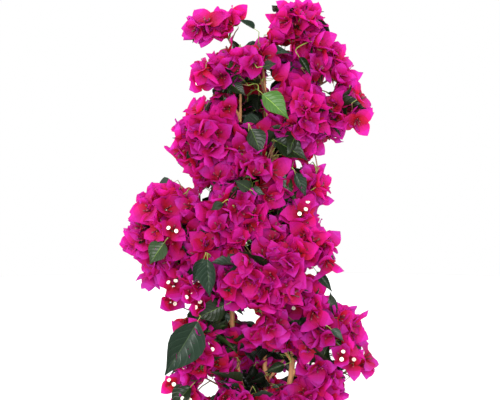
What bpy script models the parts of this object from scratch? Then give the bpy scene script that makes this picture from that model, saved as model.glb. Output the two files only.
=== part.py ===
"""A bougainvillea bush in full bloom, about 0.8 m tall: a short trunk that flares at the ground and forks
into three long upright stems, side boughs that arch out of them, and the masses of blossom and leaves
that the boughs carry. Metres, +Z up, the origin on the ground under the trunk, +X to the right, -Y to the
front."""

import math
import random
from collections import Counter, namedtuple

import bmesh
import bpy
from mathutils import Quaternion, Vector
from mathutils.bvhtree import BVHTree

# ---------------------------------------------------------------- driving dimensions
GAP = 0.0003                 # air between two neighbouring solids

TRUNK_RADIUS = 0.0095        # above the root flare
TRUNK_FLARE = 0.0175         # at the ground
TRUNK_HEIGHT = 0.046         # of the undivided trunk
TRUNK_SIDES = 12
ROOT_RIDGES = 4              # low ridges that run down into the flare
ROOT_RIDGE_DEPTH = 0.16      # share of the radius, at the ground
TRUNK_PROFILE = ((0.0, 1.0), (0.25, 0.42), (0.6, 0.12), (1.0, 0.0))     # share of height, share of flare
FORK_DEPTH = 0.55            # share of the trunk's height where the arms of its fork start
FORK_ARM = 0.026             # the arms, from the trunk's heart to their flat ends
FORK_RADIUS = 0.0074
FORK_CUFF = 0.004            # the last, straight stretch of an arm

STEM_SIDES = 8
STEM_STEPS = 13
BOUGH_SIDES = 5
BOUGH_STEPS = 4
BOUGH_RADIUS = 0.0027        # where a bough leaves its stem
TWIG_SIDES = 3
LEADER_RADIUS = 0.0022       # the one stem inside each mass, at its foot
LEADER_TIP = 0.0017
TWIG_RADIUS = 0.00085

BRACT_LENGTH = 0.044         # larger than life: each blossom of three bracts stands for a small spray
BRACT_WIDTH = 0.80           # share of its length
BRACT_WIDEST = 0.52          # where along it
BRACT_CUP = 0.10             # how far its edges rise there, as a share of its length
BRACT_OPENING = (60, 50, 40)               # degrees from the blossom's axis, tried in turn
VALLEY = (0.13, 0.06)        # the rim between two bracts: its share of their length, out and up
HEART = 0.07                 # the floor of the cup above its base, as a share of their length

LEAF_LENGTH = 0.062
LEAF_WIDTH = 0.58            # share of its length
LEAF_WIDEST = 0.45
LEAF_FOLD = 0.07             # how far its edges rise there
LEAF_DROOP = 0.10            # how far its tip falls
LEAF_THICKNESS = 0.05
LEAF_ROOT_DEPTH = 0.0003     # past the middle of its twig
SMALLEST = 0.62              # the smallest blossom and leaf, as a share of the full size

Stem = namedtuple("Stem", "name base_radius tip_radius route")
Mass = namedtuple("Mass", "name stem fork centre half blossoms leaves")
Plan = namedtuple("Plan", "mass stem rooted leader heading")

STEMS = (
    Stem("stem_left", 0.0056, 0.0024, (
        (-0.030, -0.016, 0.100), (-0.050, -0.024, 0.200), (-0.054, -0.024, 0.300),
        (-0.048, -0.018, 0.430), (-0.041, -0.012, 0.560), (-0.040, -0.008, 0.655))),
    Stem("stem_right", 0.0060, 0.0024, (
        (0.036, -0.014, 0.100), (0.049, -0.020, 0.200), (0.038, -0.022, 0.320),
        (0.020, -0.018, 0.460), (0.007, -0.014, 0.590), (-0.003, -0.008, 0.690))),
    Stem("stem_back", 0.0053, 0.0024, (
        (0.004, 0.036, 0.100), (0.002, 0.052, 0.200), (0.006, 0.056, 0.320),
        (0.012, 0.050, 0.460), (0.022, 0.044, 0.600))),
)

# Each mass: the stem that feeds it, the height of its fork there, its centre, its half widths, and how
# many blossoms and leaves it carries.
MASSES = (
    Mass("top_left", "stem_left", None, (-0.083, -0.010, 0.748), (0.070, 0.044, 0.043), 8, 3),
    Mass("top_middle", "stem_right", 0.630, (-0.018, -0.052, 0.688), (0.042, 0.042, 0.040), 4, 3),
    Mass("upper_left", "stem_left", 0.590, (-0.084, -0.030, 0.674), (0.056, 0.050, 0.040), 7, 3),
    Mass("top_right", "stem_right", None, (0.056, 0.000, 0.743), (0.067, 0.054, 0.054), 10, 4),
    Mass("right_shoulder", "stem_right", 0.600, (0.112, 0.010, 0.666), (0.060, 0.052, 0.058), 9, 3),
    Mass("far_right", "stem_right", 0.520, (0.155, -0.016, 0.600), (0.040, 0.042, 0.054), 5, 2),
    Mass("upper_right", "stem_right", 0.540, (0.070, -0.050, 0.604), (0.062, 0.052, 0.056), 9, 5),
    Mass("left_shoulder", "stem_left", 0.480, (-0.098, -0.030, 0.561), (0.076, 0.066, 0.080), 13, 5),
    Mass("centre_upper", "stem_right", 0.470, (-0.002, -0.066, 0.524), (0.050, 0.042, 0.050), 6, 6),
    Mass("right_middle", "stem_right", 0.420, (0.078, -0.026, 0.492), (0.050, 0.052, 0.056), 8, 5),
    Mass("left_wing", "stem_left", 0.320, (-0.171, -0.020, 0.395), (0.083, 0.070, 0.093), 18, 6),
    Mass("centre_middle", "stem_left", 0.380, (-0.050, -0.086, 0.436), (0.060, 0.048, 0.062), 9, 5),
    Mass("right_centre", "stem_right", 0.330, (0.073, -0.048, 0.388), (0.070, 0.060, 0.062), 11, 4),
    Mass("centre_low", "stem_right", 0.250, (0.002, -0.100, 0.332), (0.070, 0.050, 0.064), 11, 4),
    Mass("left_low", "stem_left", 0.240, (-0.100, -0.070, 0.326), (0.055, 0.050, 0.056), 7, 6),
    Mass("leafy_left", "stem_left", 0.190, (-0.128, -0.072, 0.232), (0.048, 0.046, 0.054), 1, 9),
    Mass("centre_bottom", "stem_right", 0.180, (0.002, -0.076, 0.240), (0.046, 0.044, 0.044), 5, 4),
    Mass("low_left", "stem_left", 0.110, (-0.104, -0.052, 0.158), (0.071, 0.060, 0.060), 10, 6),
    Mass("low_right", "stem_right", 0.150, (0.106, -0.048, 0.236), (0.072, 0.062, 0.072), 12, 4),
    Mass("far_low_right", "stem_right", 0.110, (0.160, 0.004, 0.172), (0.044, 0.044, 0.044), 4, 3),
    Mass("bottom_right", "stem_right", 0.085, (0.086, -0.052, 0.142), (0.060, 0.054, 0.052), 8, 3),
    Mass("bottom_left", "stem_left", 0.080, (-0.036, -0.068, 0.124), (0.050, 0.046, 0.046), 5, 4),
    Mass("back_top", "stem_back", None, (0.022, 0.064, 0.678), (0.056, 0.048, 0.058), 7, 3),
    Mass("back_upper_left", "stem_back", 0.500, (-0.066, 0.066, 0.590), (0.060, 0.056, 0.068), 8, 4),
    Mass("back_upper_right", "stem_back", 0.470, (0.070, 0.084, 0.570), (0.058, 0.058, 0.066), 8, 4),
    Mass("back_wing", "stem_left", 0.350, (-0.110, 0.086, 0.440), (0.068, 0.062, 0.070), 8, 4),
    Mass("back_middle", "stem_back", 0.340, (0.024, 0.116, 0.440), (0.068, 0.056, 0.066), 8, 4),
    Mass("back_right", "stem_right", 0.260, (0.086, 0.072, 0.390), (0.048, 0.060, 0.064), 7, 4),
    Mass("back_low_left", "stem_left", 0.170, (-0.110, 0.078, 0.268), (0.066, 0.062, 0.068), 8, 4),
    Mass("back_low", "stem_back", 0.180, (0.002, 0.128, 0.290), (0.062, 0.054, 0.066), 7, 4),
    Mass("back_low_right", "stem_back", 0.130, (0.108, 0.088, 0.240), (0.062, 0.060, 0.064), 8, 4),
    Mass("bottom_back", "stem_back", 0.080, (-0.020, 0.100, 0.144), (0.078, 0.060, 0.054), 8, 5),
)

FRINGE = 1.10                # how far a tip may stand out of its mass, where 1 is the skin
SPACE_MARGIN = 0.02          # how far a tip stays out of the next mass, on the same measure
ENTRY = 0.80                 # a bough ends this far out from the centre of its mass
SHORTEST_BOUGH = 0.045       # a shorter one is left out, and the mass grows straight from the stem
BOUGH_ARCH = 0.16            # rise of a bough's middle, as a share of its span
LEADER_REACH = 0.40          # a leader ends this far past the centre of its mass
LEADER_STEPS = 4
TWIG_LAG = 0.45              # a twig leaves the leader this share of its height before its blossom
TWIG_ARCH = 0.18
LONG_TWIG = 0.030            # a twig of this span or more is bent once
BLOSSOM_TRIES = 220          # places tried for each blossom
BLOSSOM_DEPTH = (0.45, 1.0)  # of its base under the skin, as a share of the bracts' length
LEAF_TRIES = 60              # places tried for each leaf
GOLDEN = math.pi * (3 - math.sqrt(5))
UP = Vector((0, 0, 1))


# ---------------------------------------------------------------- materials
def material(name, colour, roughness):
    made = bpy.data.materials.new(name)
    made.use_nodes = True
    shader = made.node_tree.nodes["Principled BSDF"]
    shader.inputs["Base Color"].default_value = (*colour, 1)
    shader.inputs["Roughness"].default_value = roughness
    shader.inputs["Metallic"].default_value = 0
    made.diffuse_color = (*colour, 1)
    return made


def palette():
    """The bark, green twig, bract and leaf finishes, in the order of the masses' material slots."""
    return {
        "bark": material("bark", (0.36, 0.21, 0.11), 0.8),
        "twig": material("twig", (0.18, 0.14, 0.05), 0.7),
        "bract": material("bract", (0.60, 0.015, 0.27), 0.6),
        "leaf": material("leaf", (0.035, 0.085, 0.02), 0.45),
    }


TWIG, BRACT, LEAF = 0, 1, 2


# ---------------------------------------------------------------- curves and tubes
def spline(points, steps):
    """Points along a smooth curve through the given points, evenly spaced in each stretch's parameter."""
    ends = [2 * points[0] - points[1], *points, 2 * points[-1] - points[-2]]
    found = []
    for i in range(steps + 1):
        place = i / steps * (len(points) - 1)
        k = min(int(place), len(points) - 2)
        t = place - k
        a, b, c, d = ends[k:k + 4]
        found.append(0.5 * (2 * b + (c - a) * t + (2 * a - 5 * b + 4 * c - d) * t * t
                            + (3 * b - a - 3 * c + d) * t ** 3))
    return found


def bend(start, control, end, steps):
    """Points along the arc that leaves start towards control and comes into end from it."""
    shares = [i / steps for i in range(steps + 1)]
    return [start * (1 - t) ** 2 + control * 2 * t * (1 - t) + end * t * t for t in shares]


def taper(first, last, count):
    return [first + (last - first) * i / (count - 1) for i in range(count)]


def tube_rings(shape, points, radii, sides, heading=None, side=None):
    """Rings of corners along the points, with the faces between them. The first ring is square to the heading
    and starts at the side, where they are given."""
    heading = heading or (points[1] - points[0]).normalized()
    side = side or heading.orthogonal().normalized()
    rings = []
    for i, (point, radius) in enumerate(zip(points, radii)):
        ahead = (points[min(i + 1, len(points) - 1)] - points[i - 1]).normalized() if i else heading
        side, heading = heading.rotation_difference(ahead) @ side, ahead
        other = heading.cross(side)
        turns = [math.tau * k / sides for k in range(sides)]
        rings.append([shape.verts.new(point + radius * (side * math.cos(a) + other * math.sin(a)))
                      for a in turns])
    for low, high in zip(rings, rings[1:]):
        for k in range(sides):
            after = (k + 1) % sides
            shape.faces.new((low[k], low[after], high[after], high[k]))
    return rings


def tube(name, points, radii, sides, slot=0, heading=None):
    """A closed tapering tube along the points, with a flat cut at each end."""
    shape = bmesh.new()
    rings = tube_rings(shape, points, radii, sides, heading)
    shape.faces.new(rings[0][::-1])
    shape.faces.new(rings[-1])
    return placed(name, shape, slot)


def placed(name, shape, slot=None):
    """The bmesh as an object in the scene, with all its faces in one material slot where that is given."""
    if slot is not None:
        for face in shape.faces:
            face.material_index = slot
    mesh = bpy.data.meshes.new(name)
    shape.to_mesh(mesh)
    shape.free()
    thing = bpy.data.objects.new(name, mesh)
    bpy.context.scene.collection.objects.link(thing)
    return thing


# ---------------------------------------------------------------- joining and cutting
def evaluated(thing):
    return bpy.data.meshes.new_from_object(thing.evaluated_get(bpy.context.evaluated_depsgraph_get()))


def applied(thing, modifier, made):
    """Takes off the Boolean modifier and puts what it made in the mesh's place."""
    thing.modifiers.remove(modifier)
    old, thing.data = thing.data, made
    made.name = thing.name
    bpy.data.meshes.remove(old)


def closed(mesh):
    """Whether each edge of the mesh has a face on either side."""
    sides = Counter(key for face in mesh.polygons for key in face.edge_keys)
    return all(count == 2 for count in sides.values())


def joined(thing, pieces):
    """Fuses the pieces onto the object with one Boolean union, and removes them."""
    group = bpy.data.collections.new(thing.name + "_pieces")
    for piece in pieces:
        group.objects.link(piece)
    union = thing.modifiers.new("union", "BOOLEAN")
    union.operation = "UNION"
    union.operand_type = "COLLECTION"
    union.collection = group
    made = evaluated(thing)
    if not closed(made):
        bpy.data.meshes.remove(made)
        union.solver = "MANIFOLD"
        made = evaluated(thing)
    applied(thing, union, made)
    for piece in pieces:
        bpy.data.objects.remove(piece)
    bpy.data.collections.remove(group)


def cut(thing, cutter):
    """Cuts the object clear of the cutter, and removes the cutter."""
    difference = thing.modifiers.new("cut", "BOOLEAN")
    difference.operation = "DIFFERENCE"
    difference.object = cutter
    difference.solver = "MANIFOLD"
    applied(thing, difference, evaluated(thing))
    bpy.data.objects.remove(cutter)


def drop_scraps(thing):
    """Keeps the largest connected piece of the mesh."""
    shape = bmesh.new()
    shape.from_mesh(thing.data)
    unseen, islands = set(shape.verts), []
    while unseen:
        island, edge = set(), [unseen.pop()]
        while edge:
            vertex = edge.pop()
            island.add(vertex)
            near = {e.other_vert(vertex) for e in vertex.link_edges} & unseen
            unseen -= near
            edge.extend(near)
        islands.append(island)
    islands.sort(key=len)
    for island in islands[:-1]:
        bmesh.ops.delete(shape, geom=list(island), context="VERTS")
    shape.to_mesh(thing.data)
    shape.free()


# ---------------------------------------------------------------- trunk and limbs
def stem_line(stem):
    """The stem's centre line, from its flat foot on the trunk's fork to its tip."""
    heart = Vector((0, 0, TRUNK_HEIGHT))
    first = Vector(stem.route[0])
    foot = heart + (first - heart).normalized() * FORK_ARM
    return spline([foot, *map(Vector, stem.route)], STEM_STEPS)


def trunk():
    """A flared foot with low root ridges, and the three arms of its fork."""
    shape = bmesh.new()
    rings = []
    for height, flare in TRUNK_PROFILE:
        radius = TRUNK_RADIUS + (TRUNK_FLARE - TRUNK_RADIUS) * flare
        ring = []
        for k in range(TRUNK_SIDES):
            a = math.tau * k / TRUNK_SIDES
            ridge = 1 + ROOT_RIDGE_DEPTH * flare * math.cos(ROOT_RIDGES * a)
            ring.append(shape.verts.new(
                (radius * ridge * math.cos(a), radius * ridge * math.sin(a), TRUNK_HEIGHT * height)))
        rings.append(ring)
    for low, high in zip(rings, rings[1:]):
        for k in range(TRUNK_SIDES):
            after = (k + 1) % TRUNK_SIDES
            shape.faces.new((low[k], low[after], high[after], high[k]))
    shape.faces.new(rings[0][::-1])
    shape.faces.new(rings[-1])
    foot = placed("trunk", shape)
    arms = []
    for stem in STEMS:
        line = stem_line(stem)
        heading = (line[1] - line[0]).normalized()
        end = line[0] - heading * GAP
        start, heart = (Vector((0, 0, TRUNK_HEIGHT * share)) for share in (FORK_DEPTH, 1))
        path = [*bend(start, heart, end, 3)[:2], end - heading * FORK_CUFF, end]
        arms.append(tube("arm", path, taper(FORK_RADIUS, stem.base_radius, len(path)), STEM_SIDES))
    joined(foot, arms)
    return foot


class Limb:
    """A stem or a bough: its centre line, its radii and its object."""

    def __init__(self, name, line, foot_radius, tip_radius, sides):
        self.line, self.sides = line, sides
        self.radii = taper(foot_radius, tip_radius, len(line))
        self.object = tube(name, line, self.radii, sides)

    def point_at(self, height):
        """The centre line's point at that height."""
        for low, high in zip(self.line, self.line[1:]):
            if low.z <= height <= high.z:
                return low.lerp(high, (height - low.z) / (high.z - low.z))
        return self.line[-1]

    def cutter(self):
        """The limb grown by the gap, which trims what forks off it."""
        wider = GAP / math.cos(math.pi / self.sides)
        made = tube("cutter", self.line, [r + wider for r in self.radii], self.sides)
        made.hide_render = True
        made.display_type = "WIRE"
        return made


# ---------------------------------------------------------------- the space of a mass
def depth(mass, point):
    """0 at the centre of the mass, 1 at its skin."""
    return math.sqrt(sum(((point[k] - mass.centre[k]) / mass.half[k]) ** 2 for k in range(3)))


def reach(mass, direction):
    """How far the skin lies from the centre in that direction."""
    return 1 / math.sqrt(sum((direction[k] / mass.half[k]) ** 2 for k in range(3)))


def in_space(mass, neighbours, points):
    """Whether all the points lie in the mass or its fringe, and none lies deeper in a neighbour."""
    for point in points:
        own = depth(mass, point)
        if own > FRINGE or any(depth(other, point) < own + SPACE_MARGIN for other in neighbours):
            return False
    return True


def overlapping(mass, other):
    return other is not mass and all(
        abs(mass.centre[k] - other.centre[k]) < FRINGE * (mass.half[k] + other.half[k]) for k in range(3))


def random_direction(rng):
    return Vector([rng.gauss(0, 1) for _ in range(3)]).normalized()


def directions(count, rng):
    """Directions spread evenly over a ball, from a spiral with a random start."""
    start, tilt = rng.uniform(0, math.tau), Quaternion(random_direction(rng), rng.uniform(0, 1))
    for k in range(count):
        z = 1 - 2 * (k + 0.5) / count
        ring = math.sqrt(1 - z * z)
        yield tilt @ Vector((ring * math.cos(start + GOLDEN * k), ring * math.sin(start + GOLDEN * k), z))


# ---------------------------------------------------------------- blossom and leaf
def blossom_points(base, facing, spin, opening, length):
    """The heart inside, and the twelve rim points of three cupped bracts round one base: for each bract its
    left side, tip and right side, and the valley after it."""
    side = Quaternion(facing, spin) @ facing.orthogonal().normalized()
    rim = []
    for k in range(3):
        out = Quaternion(facing, math.tau * k / 3) @ side
        across = facing.cross(out)
        along = out * math.sin(opening) + facing * math.cos(opening)
        middle = along * BRACT_WIDEST + (facing * math.sin(opening) - out * math.cos(opening)) * BRACT_CUP
        valley = Quaternion(facing, math.tau * (k + 0.5) / 3) @ side * VALLEY[0] + facing * VALLEY[1]
        shares = (middle - across * BRACT_WIDTH / 2, along, middle + across * BRACT_WIDTH / 2, valley)
        rim += [base + share * length for share in shares]
    return base + facing * HEART * length, rim


def sprig(path, facing, spin, heart, rim):
    """A blossom in one with its twig: the path runs from the leader to the blossom's base, and the twig's
    three corners there lie behind the three bracts."""
    shape = bmesh.new()
    side = Quaternion(facing, spin) @ facing.orthogonal().normalized()
    rings = tube_rings(shape, path[::-1], [TWIG_RADIUS] * len(path), TWIG_SIDES, -facing, side)
    shape.faces.new(rings[-1])
    wood = list(shape.faces)
    corners = [rings[0][0], rings[0][2], rings[0][1]]         # the tube runs backwards, so its turns do too
    top, ring = shape.verts.new(heart), [shape.verts.new(point) for point in rim]
    for k, vertex in enumerate(ring):
        after = ring[(k + 1) % 12]
        corner = corners[(k + 1) // 4 % 3]
        shape.faces.new((top, vertex, after))
        shape.faces.new((corner, after, vertex))
        if k % 4 == 3:
            shape.faces.new((corner, vertex, corners[k // 4]))
    for face in shape.faces:
        face.material_index = BRACT
    for face in wood:
        face.material_index = TWIG
    return placed("sprig", shape)


def leaf_points(root, heading, face, length):
    """The root, left edge, tip, right edge, and the upper and lower middle of a leaf folded along its rib."""
    across = heading.cross(face).normalized()
    face = across.cross(heading).normalized()
    middle = heading * LEAF_WIDEST - face * LEAF_FOLD
    edge = heading * LEAF_WIDEST
    half, thick = across * LEAF_WIDTH / 2, face * LEAF_THICKNESS / 2
    tip = heading - face * LEAF_DROOP
    shares = (edge + half, tip, edge - half, middle + thick, middle - thick)
    return [root, *(root + share * length for share in shares)]


def leaf(points):
    shape = bmesh.new()
    *rim, upper, lower = [shape.verts.new(p) for p in points]
    for k, vertex in enumerate(rim):
        after = rim[(k + 1) % len(rim)]
        shape.faces.new((upper, vertex, after))
        shape.faces.new((lower, after, vertex))
    return placed("leaf", shape, LEAF)


# ---------------------------------------------------------------- growing a mass
def surface_of(thing, without=None):
    """The object's faces as a tree for tests of touch, without those in one material slot."""
    faces = [face.vertices for face in thing.data.polygons if face.material_index != without]
    return BVHTree.FromPolygons([vertex.co for vertex in thing.data.vertices], faces)


def clear_of(thing, solids):
    mine = surface_of(thing)
    return not any(mine.overlap(solid) for solid in solids)


def growth_lines(mass, stem):
    """(line of the bough, line of the mass's leader, its heading at its foot). The bough's line is None where
    the mass sits on its stem."""
    centre = Vector(mass.centre)
    if mass.fork is None:
        heading = (stem.line[-1] - stem.line[-2]).normalized()
        start, bough = stem.line[-1] + heading * GAP, None
    else:
        start = stem.point_at(mass.fork)
        out = (centre - start).normalized()
        entry = centre - out * reach(mass, out) * ENTRY
        span = (entry - start).length
        if span < SHORTEST_BOUGH or (entry - start).dot(out) < 0:
            heading, bough = (out + UP * BOUGH_ARCH).normalized(), None
        else:
            bough = bend(start, (start + entry) / 2 + UP * span * BOUGH_ARCH, entry, BOUGH_STEPS)
            heading = (bough[-1] - bough[-2]).normalized()
            start = entry + heading * GAP
    out = (centre - start).normalized()
    end = centre + out * reach(mass, out) * LEADER_REACH
    return bough, bend(start, start + heading * (end - start).length * 0.5, end, LEADER_STEPS), heading


def blossom_sites(mass, rng, direction):
    """(base, facing, spin, heart, rim): the places to try for one blossom, in the given direction from the
    centre or near it. They start at full size, and stray further as they shrink."""
    for k in range(BLOSSOM_TRIES):
        stray = k / BLOSSOM_TRIES
        out = (direction + random_direction(rng) * (0.15 + 0.5 * stray)).normalized()
        outward = Vector([out[i] / mass.half[i] for i in range(3)]).normalized()
        facing = (outward + UP * 0.15 + random_direction(rng) * (0.3 + 0.5 * stray)).normalized()
        length = BRACT_LENGTH * (1 - (1 - SMALLEST) * stray)
        opening = math.radians(BRACT_OPENING[k % len(BRACT_OPENING)])
        skin = Vector(mass.centre) + out * reach(mass, out)
        base, spin = skin - facing * length * rng.uniform(*BLOSSOM_DEPTH), rng.uniform(0, math.tau)
        yield base, facing, spin, *blossom_points(base, facing, spin, opening, length)


def twig_line(leader, base):
    """A twig from the leader to a blossom's base. It leaves the leader before the point nearest the base."""
    whole = leader[-1] - leader[0]
    along = (base - leader[0]).dot(whole) / whole.length_squared
    aside = (base - leader[0] - whole * along).length / whole.length
    place = min(max(along - TWIG_LAG * aside, 0.10), 0.94) * (len(leader) - 1)
    k = min(int(place), len(leader) - 2)
    root = leader[k].lerp(leader[k + 1], place - k)
    span = (base - root).length
    control = root.lerp(base, 0.5) + (leader[k + 1] - leader[k]).normalized() * span * TWIG_ARCH
    return bend(root, control, base, 2 if span > LONG_TWIG else 1)


def leaf_sites(mass, rng, lines):
    """The points of a leaf at each place to try: round the twigs and the leader in turn."""
    centre = Vector(mass.centre)
    for k in range(LEAF_TRIES * mass.leaves):
        line = lines[k % len(lines)]
        place = rng.uniform(0.25, 0.9) * (len(line) - 1)
        i = min(int(place), len(line) - 2)
        root = line[i].lerp(line[i + 1], place - i)
        along = (line[i + 1] - line[i]).normalized()
        side = Quaternion(along, rng.uniform(0, math.tau)) @ along.orthogonal().normalized()
        outward = (root - centre).normalized()
        heading = (side + outward * 0.7 + along * 0.4 - UP * 0.2).normalized()
        face = (UP + outward * 0.6 + random_direction(rng) * 0.4).normalized()
        length = LEAF_LENGTH * rng.uniform(SMALLEST, 1)
        if abs(face.dot(heading)) < 0.9:
            yield leaf_points(root - heading * LEAF_ROOT_DEPTH, heading, face, length)


def grow_blossoms(mass, rng, neighbours, leader, taken):
    """The pieces and the twigs' lines. Each blossom keeps clear of the solids taken before it."""
    pieces, twigs = [], []
    for direction in directions(mass.blossoms, rng):
        for base, facing, spin, heart, rim in blossom_sites(mass, rng, direction):
            path = twig_line(leader, base)
            if (path[-1] - path[-2]).dot(facing) < 0 or not in_space(mass, neighbours, [base, *rim]):
                continue
            piece = sprig(path, facing, spin, heart, rim)
            if clear_of(piece, taken):
                taken.append(surface_of(piece, without=TWIG))
                pieces.append(piece)
                twigs.append(path)
                break
            bpy.data.objects.remove(piece)
    return pieces, twigs


def grow_leaves(mass, rng, neighbours, lines, taken):
    pieces = []
    for points in leaf_sites(mass, rng, lines):
        if len(pieces) == mass.leaves:
            break
        if not in_space(mass, neighbours, points):
            continue
        blade = leaf(points)
        if clear_of(blade, taken):
            pieces.append(blade)
            taken.append(surface_of(blade))
        else:
            bpy.data.objects.remove(blade)
    return pieces


def grow(plan, rng, solids, finishes):
    """Makes the mass as one solid: its leader, the twigs, and the blossoms and leaves fused to them. It keeps
    clear of the solids. A leader that is rooted in its stem is cut clear of it."""
    mass, leader = plan.mass, plan.leader
    radii = taper(LEADER_RADIUS, LEADER_TIP, len(leader))
    thing = tube(mass.name, leader, radii, TWIG_SIDES, TWIG, plan.heading)
    dress(thing, finishes)
    neighbours = [other for other in MASSES if overlapping(mass, other)]
    taken = list(solids)
    blossoms, twigs = grow_blossoms(mass, rng, neighbours, leader, taken)
    leaves = grow_leaves(mass, rng, neighbours, [leader, *twigs], taken)
    joined(thing, blossoms + leaves)
    if plan.rooted:
        cut(thing, plan.stem.cutter())
    drop_scraps(thing)
    return thing


# ---------------------------------------------------------------- the bush
def dress(thing, materials):
    thing.data.materials.clear()
    for finish in materials:
        thing.data.materials.append(finish)


def build():
    for old in list(bpy.data.objects):
        bpy.data.objects.remove(old)
    finish = palette()
    dress(trunk(), [finish["bark"]])
    stems = {}
    for stem in STEMS:
        stems[stem.name] = Limb(stem.name, stem_line(stem), stem.base_radius, stem.tip_radius, STEM_SIDES)
    limbs, plans = list(stems.values()), []
    for mass in MASSES:
        stem = stems[mass.stem]
        line, leader, heading = growth_lines(mass, stem)
        plans.append(Plan(mass, stem, line is None and mass.fork is not None, leader, heading))
        if line:
            bough = Limb("bough_" + mass.name, line, BOUGH_RADIUS, LEADER_RADIUS, BOUGH_SIDES)
            cut(bough.object, stem.cutter())
            drop_scraps(bough.object)
            limbs.append(bough)
    for limb in limbs:
        dress(limb.object, [finish["bark"]])
    solids = [surface_of(limb.object) for limb in limbs]
    for seed, plan in enumerate(plans):
        thing = grow(plan, random.Random(seed), solids, [finish["twig"], finish["bract"], finish["leaf"]])
        solids.append(surface_of(thing))


build()
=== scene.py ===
# %% [markdown]
# # A bougainvillea bush
#
# The construction model holds the bush as solids: a trunk, three stems, their boughs, and one rough solid for
# each mass of blossom. This lesson grows what the eye sees in the same places: bark with relief, twigs,
# leaves, papery bracts and the small flowers inside them. The rule of growth is the same as the solids'
# rule, carried on to finer twigs. It could be sculpted by hand instead, but a rule fills thirty masses evenly
# and can be tuned with a few numbers.

# %% Open the construction model
import math
import random
from collections import namedtuple

import bmesh
import bpy
import numpy as np
from mathutils import Matrix, Quaternion, Vector, noise


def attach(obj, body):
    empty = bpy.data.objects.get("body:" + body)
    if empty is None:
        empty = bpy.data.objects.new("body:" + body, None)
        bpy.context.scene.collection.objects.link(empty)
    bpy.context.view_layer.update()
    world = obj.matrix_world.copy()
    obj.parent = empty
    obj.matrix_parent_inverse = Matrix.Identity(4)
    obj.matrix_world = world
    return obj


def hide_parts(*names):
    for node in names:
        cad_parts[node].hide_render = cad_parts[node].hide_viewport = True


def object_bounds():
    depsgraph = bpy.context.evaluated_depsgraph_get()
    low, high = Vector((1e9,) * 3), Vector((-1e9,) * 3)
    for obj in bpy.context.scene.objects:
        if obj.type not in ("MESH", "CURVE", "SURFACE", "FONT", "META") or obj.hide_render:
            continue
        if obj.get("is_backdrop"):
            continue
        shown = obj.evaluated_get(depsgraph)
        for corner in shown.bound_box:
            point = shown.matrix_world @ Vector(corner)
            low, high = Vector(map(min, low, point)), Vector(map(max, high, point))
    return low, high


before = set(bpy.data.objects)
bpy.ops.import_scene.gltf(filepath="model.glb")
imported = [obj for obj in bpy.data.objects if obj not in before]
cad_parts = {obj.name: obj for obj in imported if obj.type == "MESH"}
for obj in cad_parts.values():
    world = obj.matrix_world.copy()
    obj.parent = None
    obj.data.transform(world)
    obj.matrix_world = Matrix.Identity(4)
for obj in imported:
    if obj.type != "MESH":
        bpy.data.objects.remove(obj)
cad_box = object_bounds()
print("solids:", len(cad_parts), "box:", [round(side, 3) for side in cad_box[1] - cad_box[0]])

# %% [markdown]
# ## The camera
#
# A long lens from a little above keeps the bush's true proportions, as in a catalogue. The camera comes
# first, because the see-through places in the crown are laid out as seen from it.

# %% Camera
MIDDLE = Vector((-0.0238, 0, 0.455))        # what the camera aims at
DISTANCE = 2.6
ELEVATION = math.radians(3.5)
LENS = 110                                  # mm

EYE = MIDDLE + Vector((0, -math.cos(ELEVATION), math.sin(ELEVATION))) * DISTANCE
bpy.ops.object.camera_add(location=EYE, rotation=(math.pi / 2 - ELEVATION, 0, 0))
camera = bpy.context.object
camera.data.lens = LENS
bpy.context.scene.camera = camera
print("camera at", [round(place, 2) for place in EYE])

# %% [markdown]
# ## Floor and light
#
# Papery bracts show their colour best in soft light from low in front, while the inside of the crown falls
# dark. Two weaker suns draw the edges: one from the right, a little behind, and one from behind on the left.
# Wide suns also light the floor evenly, where a lamp nearby would leave a pool on it. The pale surroundings
# give the leaves something to mirror. Standard colour management keeps the magenta pure, where a film-like
# one would wash it out.

# %% Floor and light
FLOOR_RADIUS = 3.0
FLOOR_SUNK = 0.0005          # so that the floor doesn't share a face with the foot of the trunk
SKY_SEEN = 1.0               # brightness of the surroundings behind the bush
SKY_LIGHT = 2.05             # and of the light that they give
WHITE = (1, 1, 1, 1)
SUNS = (                     # azimuth, height, strength, softness
    ("front light", -6, 12, 3.8, 40),
    ("right light", 115, 35, 1.1, 60),
    ("left light", 235, 35, 1.1, 60),
)

bpy.context.scene.view_settings.view_transform = "Standard"


def soft_sun(name, azimuth, height, strength, softness):
    """A wide sun. Azimuth 0 comes from the front and 90 from the right, height is above the horizon."""
    turn = (math.radians(90 - height), 0, math.radians(azimuth))
    bpy.ops.object.light_add(type="SUN", location=(0, 0, 3), rotation=turn)
    made = bpy.context.object
    made.name, made.data.energy, made.data.angle = name, strength, math.radians(softness)


for sun in SUNS:
    soft_sun(*sun)

sunk = (0, 0, -FLOOR_SUNK)
bpy.ops.mesh.primitive_circle_add(vertices=96, radius=FLOOR_RADIUS, fill_type="NGON", location=sunk)
floor = bpy.context.object
floor.name = "floor"
floor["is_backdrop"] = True

world = bpy.data.worlds.new("studio")
bpy.context.scene.world = world
world.use_nodes = True
sky = world.node_tree
surroundings = sky.nodes["Background"]
backdrop = sky.nodes.new("ShaderNodeBackground")
for background, strength in ((surroundings, SKY_LIGHT), (backdrop, SKY_SEEN)):
    background.inputs["Color"].default_value = WHITE
    background.inputs["Strength"].default_value = strength
path = sky.nodes.new("ShaderNodeLightPath")
choice = sky.nodes.new("ShaderNodeMixShader")
sky.links.new(path.outputs["Is Camera Ray"], choice.inputs[0])
sky.links.new(surroundings.outputs[0], choice.inputs[1])
sky.links.new(backdrop.outputs[0], choice.inputs[2])
sky.links.new(choice.outputs[0], sky.nodes["World Output"].inputs[0])
print(len(SUNS), "suns and a", world.name)

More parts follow.
